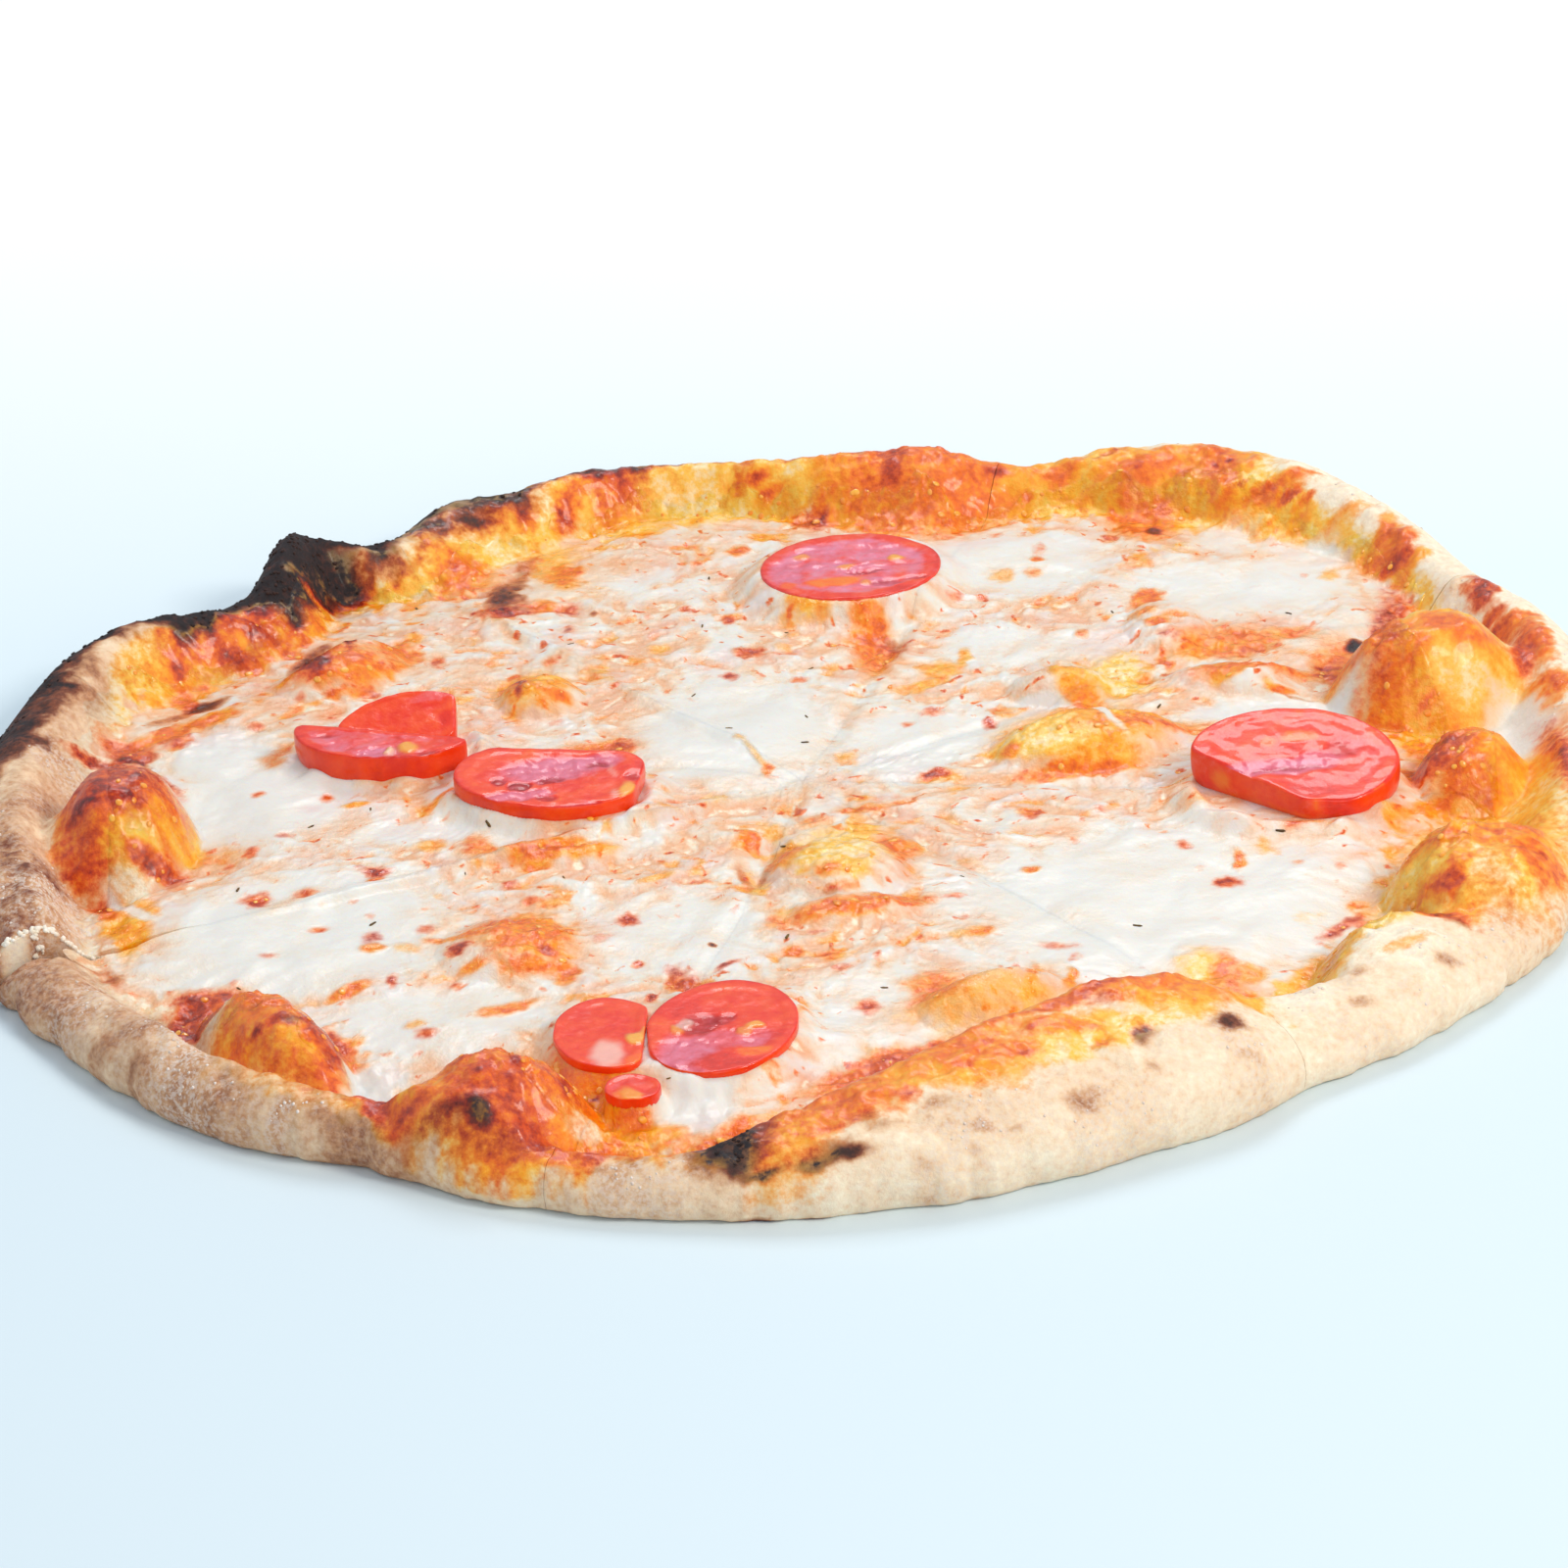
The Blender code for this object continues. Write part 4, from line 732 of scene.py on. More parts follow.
def shell(number, radii, counts, top, under, open_from):
    """Points and triangles of one slice.

    radii(share) gives the rings' distances from the tip outwards, counts their lines, top
    and under their heights. The underside has every line only from ring open_from on.
    """
    places, rings, lower = [np.zeros((1, 2))], [], []
    spread = {count: radii(np.linspace(0, 1, count + 1)) for count in set(counts)}
    first = 1
    for k, count in enumerate(counts):
        share, radius = np.linspace(0, 1, count + 1), spread[count][k]
        places.append(np.stack(spot_at(slice_direction(number, share, radius), radius), 1))
        rings.append(np.arange(first, first + count + 1))
        first += count + 1
    above = np.concatenate(places)
    height = top(above[:, 0], above[:, 1], rings)
    below, sunk = [], len(above)
    for k, ring in enumerate(rings[:-1]):
        keep = ring if k >= open_from else ring[[0, len(ring) // 2, -1]]
        below.append(keep)
        lower.append(np.arange(sunk + 1, sunk + 1 + len(keep)))
        sunk += len(keep)
    tip, sole = 0, len(above)
    chosen = np.concatenate([[0]] + below)
    floor = under(above[chosen, 0], above[chosen, 1])
    points = np.concatenate([np.c_[above, height], np.c_[above[chosen], floor]])
    lower.append(rings[-1])
    faces = [np.stack([np.full(counts[0], tip), rings[0][:-1], rings[0][1:]], 1)]
    faces += [band(a, b) for a, b in zip(rings, rings[1:])]
    faces.append(np.array([(sole, lower[0][1], lower[0][0]), (sole, lower[0][2], lower[0][1])]))
    for a, b in zip(lower, lower[1:]):
        if len(a) == len(b):
            faces.append(band(a, b)[:, ::-1])
        else:
            hub = np.full(len(b) - 1, a[1])
            faces.append(np.stack([hub, b[1:], b[:-1]], 1))
            faces.append(np.array([(a[1], b[0], a[0]), (a[1], a[2], b[-1])]))
    for side in (0, -1):
        upper = [tip] + [ring[side] for ring in rings]
        beneath = [sole] + [ring[side] for ring in lower]
        wall = []
        for k in range(len(upper) - 1):
            a, b, c, d = upper[k], upper[k + 1], beneath[k + 1], beneath[k]
            wall += [(a, d, c)] + ([(a, c, b)] if b != c else [])
        wall = np.array(wall)
        faces.append(wall if side == 0 else wall[:, ::-1])
    return points, np.concatenate(faces), len(above)


def finished_mesh(name, points, faces, channels, material):
    """A named piece with its attributes and material, in metres in the pizza's frame."""
    mesh = bpy.data.meshes.new(name)
    placed = (points + np.array([*CROSSING, 0.0])) * MM
    mesh.from_pydata(placed.tolist(), [], faces.tolist())
    for channel, values in channels.items():
        attribute = mesh.attributes.new(channel, "FLOAT", "POINT")
        attribute.data.foreach_set("value", values.astype(np.float32))
    mesh.shade_smooth()
    mesh.set_sharp_from_angle(angle=math.radians(62))
    mesh.materials.append(material)
    piece = bpy.data.objects.new(name, mesh)
    bpy.context.scene.collection.objects.link(piece)
    return piece

# %% [markdown]
# ## Materials that read the baking
# Wheat dough is matt and lets a little light in, so it glows where it is thin. Melted
# mozzarella is milky, with a wet sheen, and cooked tomato flesh is wet all over. The two
# big materials share one set of ramps, so that the cheese fades into the crust.

# %% Colours, and one function that adds a node


def linear(code):
    """A hex colour as the linear values a shader needs."""
    parts = [int(code[k:k + 2], 16) / 255 for k in (0, 2, 4)]
    return (*[p / 12.92 if p <= 0.04045 else ((p + 0.055) / 1.055) ** 2.4 for p in parts], 1.0)


def add_node(tree, kind, inputs=None, **settings):
    """A node with its settings, its input values and the outputs that feed it."""
    made = tree.nodes.new(kind)
    for name, value in settings.items():
        setattr(made, name, value)
    for name, value in (inputs or {}).items():
        if isinstance(value, bpy.types.NodeSocket):
            tree.links.new(value, made.inputs[name])
        else:
            made.inputs[name].default_value = value
    return made


def ramp(tree, factor, stops, **settings):
    """A colour ramp through stops of (place, hex colour)."""
    made = add_node(tree, "ShaderNodeValToRGB", {"Fac": factor}, **settings)
    elements = made.color_ramp.elements
    while len(elements) < len(stops):
        elements.new(0.5)
    for element, (place, code) in zip(elements, stops):
        element.position = place
        element.color = linear(code)
    return made.outputs["Color"]


def new_material(name):
    """A material with an empty tree but for its shader."""
    made = bpy.data.materials.new(name)
    made.use_nodes = True
    return made, made.node_tree, made.node_tree.nodes["Principled BSDF"]


DOUGH = (
    (0.0, "fff3da"), (0.3, "efcfab"), (0.55, "c8946c"), (0.75, "81452e"), (0.9, "402521"),
    (1.0, "231b1e"),
)
SCORCH = (  # what browning takes away from cheese and fat
    (0.25, "ffffff"), (0.5, "e8b48c"), (0.68, "b06038"), (0.85, "5c2b20"), (1.0, "2a1c1f"),
)
OIL = (  # fat, from clear yellow through orange with sauce to burnt sauce
    (0.0, "ffe4ae"), (0.16, "ffc84c"), (0.36, "fea516"), (0.6, "f27208"), (0.82, "cc460c"),
    (1.0, "852412"),
)
MILK = ((0.0, "ec985a"), (0.28, "eeb588"), (0.58, "eed4ba"), (0.8, "eae2d5"), (1.0, "e8e7e1"))
FLOUR_DUST, WHEY_PINK = "e8d8cc", "e2a3a6"
MM_SCALE = 1000.0  # noise scales are given per millimetre, and objects are in metres


def baked_colour(tree):
    """The colour of any baked point, from its five numbers and fine noise."""
    place = add_node(tree, "ShaderNodeTexCoord").outputs["Object"]
    read = {}
    for channel in CHANNELS:
        read[channel] = add_node(tree, "ShaderNodeAttribute", attribute_name=channel).outputs["Fac"]
    grain = add_node(tree, "ShaderNodeTexNoise", {
        "Vector": place, "Scale": MM_SCALE / 1.6, "Detail": 4.0, "Roughness": 0.6,
    }).outputs["Fac"]
    dust = add_node(tree, "ShaderNodeTexNoise", {
        "Vector": place, "Scale": MM_SCALE / 0.9, "Detail": 3.0, "Roughness": 0.7,
    }).outputs["Fac"]

    def jittered(channel, amount):
        shift = add_node(tree, "ShaderNodeMath", {0: grain, 1: 0.5}, operation="SUBTRACT")
        return add_node(tree, "ShaderNodeMath", {
            0: shift.outputs[0], 1: amount, 2: read[channel],
        }, operation="MULTIPLY_ADD").outputs[0]

    def share(value, low, high):
        return add_node(tree, "ShaderNodeMapRange", {
            "Value": value, "From Min": low, "From Max": high,
        }, interpolation_type="SMOOTHSTEP").outputs["Result"]

    def laid_over(under, over, amount):
        mixed = add_node(tree, "ShaderNodeMix", data_type="RGBA")
        for socket, value in ((0, amount), (6, under), (7, over)):
            if isinstance(value, bpy.types.NodeSocket):
                tree.links.new(value, mixed.inputs[socket])
            else:
                mixed.inputs[socket].default_value = value
        return mixed.outputs[2]

    toast, oil = jittered("toast", 0.55), jittered("oil", 0.6)
    milk, fat = jittered("cheese", 0.4), jittered("fat", 0.7)
    dough = ramp(tree, toast, DOUGH)
    floured = add_node(tree, "ShaderNodeMath", {
        0: read["flour"], 1: share(dust, 0.44, 0.6),
    }, operation="MULTIPLY").outputs[0]
    dough = laid_over(dough, linear(FLOUR_DUST), floured)
    pink = add_node(tree, "ShaderNodeMath", {0: read["blush"], 1: 0.4}, operation="MULTIPLY")
    milky = laid_over(ramp(tree, milk, MILK), linear(WHEY_PINK), pink.outputs[0])
    milk_cover, fat_cover = share(milk, 0.02, 0.3), share(fat, 0.1, 0.9)
    colour = laid_over(dough, milky, milk_cover)
    thinned = add_node(tree, "ShaderNodeMapRange", {"Value": fat, "To Min": 0.5}).outputs["Result"]
    tint = add_node(tree, "ShaderNodeMath", {0: oil, 1: thinned}, operation="MULTIPLY")
    colour = laid_over(colour, ramp(tree, tint.outputs[0], OIL), fat_cover)
    cover = add_node(tree, "ShaderNodeMath", {0: milk_cover, 1: fat_cover}, operation="MAXIMUM")
    colour = add_node(tree, "ShaderNodeMix", {
        0: cover.outputs[0], 6: colour, 7: ramp(tree, toast, SCORCH),
    }, data_type="RGBA", blend_type="MULTIPLY").outputs[2]
    return laid_over(colour, dough, share(toast, 0.85, 1.0)), place, read, grain


# Dough of fine wheat flour, baked dry: matt, with a floury grain. The bump draws a grain
# of 0.6 mm, coarser than flour, so that it shows.
crust_skin, tree, shader = new_material("wheat_dough_baked")
colour, place, read, grain = baked_colour(tree)
crumb = add_node(tree, "ShaderNodeTexNoise", {
    "Vector": place, "Scale": MM_SCALE / 1.1, "Detail": 5.0, "Roughness": 0.7,
}).outputs["Fac"]
relief = add_node(tree, "ShaderNodeBump", {
    "Height": crumb, "Strength": 0.55, "Distance": 0.0006,
}).outputs["Normal"]
sheen = add_node(tree, "ShaderNodeMapRange", {
    "Value": read["fat"], "From Min": 0.1, "From Max": 0.9, "To Min": 0.78, "To Max": 0.32,
}).outputs["Result"]
tree.links.new(colour, shader.inputs["Base Color"])
tree.links.new(sheen, shader.inputs["Roughness"])
tree.links.new(relief, shader.inputs["Normal"])
wet = add_node(tree, "ShaderNodeMath", {0: read["fat"], 1: 0.3}, operation="MULTIPLY")
tree.links.new(wet.outputs[0], shader.inputs["Coat Weight"])
shader.inputs["Coat Roughness"].default_value = 0.14
shader.inputs["IOR"].default_value = 1.45
shader.inputs["Subsurface Weight"].default_value = 0.12
shader.inputs["Subsurface Radius"].default_value = (1.0, 0.5, 0.25)
shader.inputs["Subsurface Scale"].default_value = 0.002

# Mozzarella, melted and set: milky protein with a film of fat, so light goes a few
# millimetres in and the surface is half glossy.
cheese_skin, tree, shader = new_material("mozzarella_melted")
colour, place, read, grain = baked_colour(tree)
pores = add_node(tree, "ShaderNodeTexNoise", {
    "Vector": place, "Scale": MM_SCALE / 2.2, "Detail": 5.0, "Roughness": 0.6,
}).outputs["Fac"]
blistered = add_node(tree, "ShaderNodeMapRange", {
    "Value": read["cheese"], "From Min": 0.5, "From Max": 0.95, "To Min": 1.0, "To Max": 0.2,
}).outputs["Result"]
pored = add_node(tree, "ShaderNodeMath", {0: pores, 1: blistered}, operation="MULTIPLY")
relief = add_node(tree, "ShaderNodeBump", {
    "Height": pored.outputs[0], "Strength": 0.6, "Distance": 0.0011,
}).outputs["Normal"]
sheen = add_node(tree, "ShaderNodeMapRange", {
    "Value": read["fat"], "From Min": 0.0, "From Max": 0.9, "To Min": 0.34, "To Max": 0.14,
}).outputs["Result"]
tree.links.new(colour, shader.inputs["Base Color"])
tree.links.new(sheen, shader.inputs["Roughness"])
tree.links.new(relief, shader.inputs["Normal"])
wet = add_node(tree, "ShaderNodeMath", {0: read["fat"], 1: 0.3}, operation="MULTIPLY")
tree.links.new(wet.outputs[0], shader.inputs["Coat Weight"])
shader.inputs["Coat Roughness"].default_value = 0.14
shader.inputs["IOR"].default_value = 1.45
shader.inputs["Subsurface Weight"].default_value = 0.25
shader.inputs["Subsurface Radius"].default_value = (1.0, 0.6, 0.35)
shader.inputs["Subsurface Scale"].default_value = 0.003
print("materials:", crust_skin.name, cheese_skin.name)

# %% [markdown]
# ## The crust
# Dough is pressed thin in the middle and left thick at the rim. Each slice's shell follows
# the height function, and then its skin is roughened: long soft dents from the hands, small
# wrinkles, and a crumbling edge where it burnt.

# %% Rings of the crust
CRUST_RINGS = 66
FLAT_SHARES = (0.05, 0.3, 0.6, 0.85)  # of the way to where the fine rings start
APRON = 8.0  # width of fine rings inside the foot of the rim
TORN_CUT, TORN_FROM = 4, 124.0  # the cut where the crust tore, and how far out that starts
HOLLOW_DEPTH = 3.0  # how far the crust lies lower on one side of the tear


def crust_radii(number):
    """A function that gives the distances of the crust's rings."""

    def radii(share):
        heading = slice_direction(number, share, BOW_LENGTH)
        edge, start = around(OUTLINE, heading), foot(heading) - APRON
        fine = [start + (edge - start) * k / CRUST_RINGS for k in range(CRUST_RINGS + 1)]
        return np.array([start * flat for flat in FLAT_SHARES] + fine)

    return radii


def rim_share_of(x, y):
    """0 at the foot of the rim and 1 at its crest, and on outwards."""
    angle, radius = polar(x, y)
    start, crest = foot(angle), around(OUTLINE, angle) - around(RIM, angle, 2)
    return (radius - start) / np.maximum(crest - start, 3)


def crust_relief(x, y, toast, fat):
    """What the hands, the heat and the burning add to the height, in millimetres."""
    dents = 0.9 * rough(x, y, 17, 71, 2) + 0.6 * rough(*drifted(x, y, 9, 4, 70), 7, 79, 2)
    wrinkles = 0.16 * rough(x, y, 3.4, 73, 2) + 0.07 * rough(x, y, 1.7, 75, 2)
    burnt = ease(toast, 0.75, 0.95)
    blisters = 0.42 * fat * rough(*drifted(x, y, 5, 2, 78), 3.0, 76, 2)
    return dents + wrinkles + blisters + burnt * 0.22 * rough(x, y, 2.2, 77, 2)


def under_lid(z):
    """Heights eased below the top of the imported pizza, so that nothing looks sliced off."""
    lid = cad_box[1][2] / MM - 0.05
    return np.where(z > lid - 1, lid - np.exp(np.minimum(0, lid - 1 - z)), np.maximum(z, 0))


def make_crust(number):
    """The visible crust of one slice."""
    count = line_count(number)
    rings_total = len(FLAT_SHARES) + CRUST_RINGS + 1
    radii = crust_radii(number)

    def top(x, y, rings):
        angle, radius = polar(x, y)
        return np.where(radius > foot(angle) - 0.5, crust_top(x, y), BASE)

    def under(x, y):
        angle, radius = polar(x, y)
        edge = around(OUTLINE, angle)
        into = np.clip((radius - edge + EDGE_LIFT) / EDGE_LIFT, 0, 1)
        return around(RIM, angle) * EDGE_SHARE * (1 - np.sqrt(1 - into**2))

    points, faces, above = shell(
        number, radii, [count] * rings_total, top, under, rings_total - 9)
    x, y, z = points.T
    angle, radius = polar(x, y)
    state = baked(x, y, rim_share_of(x, y))
    off = np.radians(angle - cut_side(TORN_CUT, 0, radius))
    from_cut = np.where(np.cos(off) > 0, radius * np.abs(np.sin(off)), 99)
    far_out = ease(radius, TORN_FROM, TORN_FROM + 3)
    state["torn"] = (1 - ease(from_cut, 1.2, 3.4)) * far_out * (number == TORN_CUT - 1)
    shaded_hollow = (1 - ease(from_cut, 2.0, 7.0)) * far_out * (number == TORN_CUT)
    # Beside the tear the lowered crust is also painted brown (toast 0.6): painted shade in the hollow under the
    # torn lip.
    state["toast"] = np.maximum(state["toast"], 0.6 * shaded_hollow)
    lifted = ease(rim_share_of(x, y), 0.0, 0.4)
    relief = crust_relief(x, y, state["toast"], state["fat"]) - HOLLOW_DEPTH * shaded_hollow
    upper = np.arange(len(points)) < above
    z = z + np.where(upper, relief * lifted, 0)
    inset = around(OUTLINE, angle) - radius
    drawn = np.clip(relief + 0.6, 0, 2) * (1 - ease(inset, 0, 9))
    x, y = x - drawn * np.cos(np.radians(angle)), y - drawn * np.sin(np.radians(angle))
    z = under_lid(z)
    for channel in ("cheese", "oil", "fat", "blush"):
        state[channel] = np.where(upper, state[channel], 0)
    piece = finished_mesh(
        f"crust_slice_{number + 1}", np.stack([x, y, z], 1), faces, state, crust_skin)
    return piece


crusts = [make_crust(number) for number in SLICES]
print("crust triangles:", sum(len(piece.data.polygons) for piece in crusts))

# %% [markdown]
# ## The cheese
# Mozzarella melts into one sheet that creeps up the rim and thins to nothing there. A
# cloth simulation would give a smooth sheet, but this one is lumpy, blistered and drawn
# into folds, so it is a height function with noise at three sizes.

# %% Sheets of cheese
CHEESE_RING_STEP = 0.6
CREEP_LIMIT = 17.0
COLLARS = (  # how high the cheese laps up each tomato, and its least share all round
    (3.4, 1.0), (1.8, 0.3), (0.8, 0), (2.4, 0.6), (2.6, 0.4), (1.7, 0.6), (1.7, 0.6),
    (1.7, 0.6),
)
CREEP = 0.6  # how far up the rim the cheese creeps, as a share of the slope


def cheese_reach(angle):
    """Distance from the crossing where the cheese ends."""
    start, crest = foot(angle), around(OUTLINE, angle) - around(RIM, angle, 2)
    x, y = spot_at(angle, start)
    uneven = 0.5 * rough(x, y, 15, 81, 3)
    return start + np.clip((crest - start) * (CREEP + 0.5 * uneven), 1.2, CREEP_LIMIT)


CUT_GROOVES = (0.4, 0.6, -0.7, 0.3, -1.3, 0.3, 0.3, 0.5)  # depth at each cut, less than 0 a ridge


def cheese_relief(x, y):
    """Lumps, blisters, wrinkles and pressed cuts of the melted cheese, in millimetres."""
    bare = openness(x, y)
    angle, radius = polar(x, y)
    swell = 0.45 * rough(*drifted(x, y, 16, 4, 91), 14, 93, 2)
    blisters = (0.07 + 0.36 * bare) * lumps(x, y)
    wrinkles = (0.01 + 0.13 * bare) * rough(x, y, 2.0, 97, 2)
    pressed = 0.0
    for number, depth in enumerate(CUT_GROOVES):
        off = (angle - cut_side(number, 0, radius) + 180) % 360 - 180
        aside = np.abs(radius * np.radians(off)) + 0.5 * noise(x, y, 5, 99)
        along = ease(radius, 6, 25) * (1 - ease(radius, 85, 120))
        pressed = pressed + depth * along * (1 - ease(aside, 0.3, 3.2))
    return swell + blisters + wrinkles - pressed


def make_cheese(number):
    """The visible cheese of one slice."""
    count = line_count(number)
    reach = float(np.mean(cheese_reach(slice_direction(number, np.linspace(0, 1, 50), 150.0))))
    total = round(reach / CHEESE_RING_STEP)
    counts = [count // (1 if k > total * 0.5 else 2 if k > total * 0.25 else
                        4 if k > total * 0.12 else 8) for k in range(1, total + 1)]

    def radii(share):
        heading = slice_direction(number, share, BOW_LENGTH)
        far = cheese_reach(heading)
        return np.array([far * k / total for k in range(1, total + 1)])

    def film(x, y):
        angle, radius = polar(x, y)
        start, end = foot(angle) - 2, cheese_reach(angle)
        return 0.12 + 1.6 * (1 - ease((radius - start) / (end - start), 0.0, 1.0))

    def top(x, y, rings):
        angle, radius = polar(x, y)
        base = np.where(radius > foot(angle) - 0.5, crust_top(x, y), BASE)
        state = baked(x, y, rim_share_of(x, y))
        relief = crust_relief(x, y, state["toast"], state["fat"])
        base = base + relief * ease(rim_share_of(x, y), 0.0, 0.4)
        sheet = np.where(radius < foot(angle), cheese_top(x, y), 0)
        level = np.maximum(sheet, base + film(x, y))
        level = level + cheese_relief(x, y) * ease(film(x, y), 0.1, 0.9)
        level = level + 0.3 * state["fat"] * rough(*drifted(x, y, 5, 2, 78), 3.0, 76, 2)
        for bed, (height, least) in zip(TOMATO_BEDS, COLLARS):
            out = oval(x, y, bed)
            level += (TOMATO_SEAT + 0.7 - level) * (1 - ease(out, 0.9, 1.25))
            collar = np.maximum(least, ease(noise(x, y, 9, 88), -0.5, 0.5))
            collar *= ease(out, 0.86, 1.0)
            level += height * collar * (1 - ease(out, 1.02, 1.4))
        level[rings[-1]] = base[rings[-1]] - 0.25
        return level

    def under(x, y):
        angle, radius = polar(x, y)
        base = np.where(radius > foot(angle) - 0.5, crust_top(x, y), BASE)
        return np.where(radius > foot(angle) - 3, base - 0.6, BASE - 0.4)

    tail = int(np.ceil((CREEP_LIMIT + 5) / CHEESE_RING_STEP))
    points, faces, above = shell(number, radii, counts, top, under, total - tail)
    x, y, z = points.T
    state = baked(x, y, rim_share_of(x, y))
    z = under_lid(z)
    return finished_mesh(
        f"cheese_slice_{number + 1}", np.stack([x, y, z], 1), faces, state, cheese_skin)


cheeses = [make_cheese(number) for number in SLICES]
print("cheese triangles:", sum(len(piece.data.polygons) for piece in cheeses))

# %% Hand both to the frame
for number in SLICES:
    for piece, kind in ((crusts[number], "crust"), (cheeses[number], "cheese")):
        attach(piece, "root")
        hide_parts(f"{kind}_{number + 1}")

# %% [markdown]
# ## Cherry tomatoes
# Each cherry tomato was cut once or twice and laid on the cheese with its wet inside up. A
# cut face shows a firm wall of flesh under the skin, then soft chambers of clear gel with
# seeds, and over it a film of dried juice that looks purple against the red. A flat disc
# with an image would be quicker, but here the chambers are pressed in and the seeds stand
# up. The same way of listing patches is used as for the cheese.

# %% Sizes of the tomato pieces
TOMATO_PIECES = {  # place, half length, half width, turn, thickness, (slope, rises towards), knife sides
    "tomato_back": ((12.5, 88.5), 18.5, 16.0, 0, 3.8, (0, 0), ()),
    "tomato_left_front": ((-80.5, 21.0), 18.5, 13.0, -10, 6.0, (0, 0), ((72, -1.5),)),
    "tomato_left_back": ((-77.5, 23.0), 13.5, 7.0, 6, 6.0, (24, 80), ((252, 3.8), (0, 10.5))),
    "tomato_centre": ((-48.0, -2.0), 19.5, 12.5, -12, 5.4, (4, 90), ((80, 9.0), (-12, 17.0))),
    "tomato_right": ((93.0, -17.5), 20.0, 16.0, -8, 7.0, (9, 95), ((228, 10.0), (266, 14.0))),
    "tomato_front_left": ((-37.5, -101.5), 10.0, 13.0, 10, 2.4, (0, 0), ((-4, 6.3),)),
    "tomato_front_right": ((-17.5, -101.5), 17.0, 13.5, 75, 2.4, (0, 0), ((182, 13.3),)),
    "tomato_front_seed": ((-33.5, -122.0), 5.0, 4.5, -20, 2.4, (0, 0), ()),
}
TOMATO_BASE = {  # (ripeness of the flesh, film of juice) over the whole cut face
    "tomato_back": (0.42, 0.8), "tomato_left_front": (0.4, 0.45),
    "tomato_left_back": (0.44, 0.08), "tomato_centre": (0.44, 0.12),
    "tomato_right": (0.42, 0.14), "tomato_front_left": (0.45, 0.06),
    "tomato_front_right": (0.42, 0.12), "tomato_front_seed": (0.4, 0.2),
}
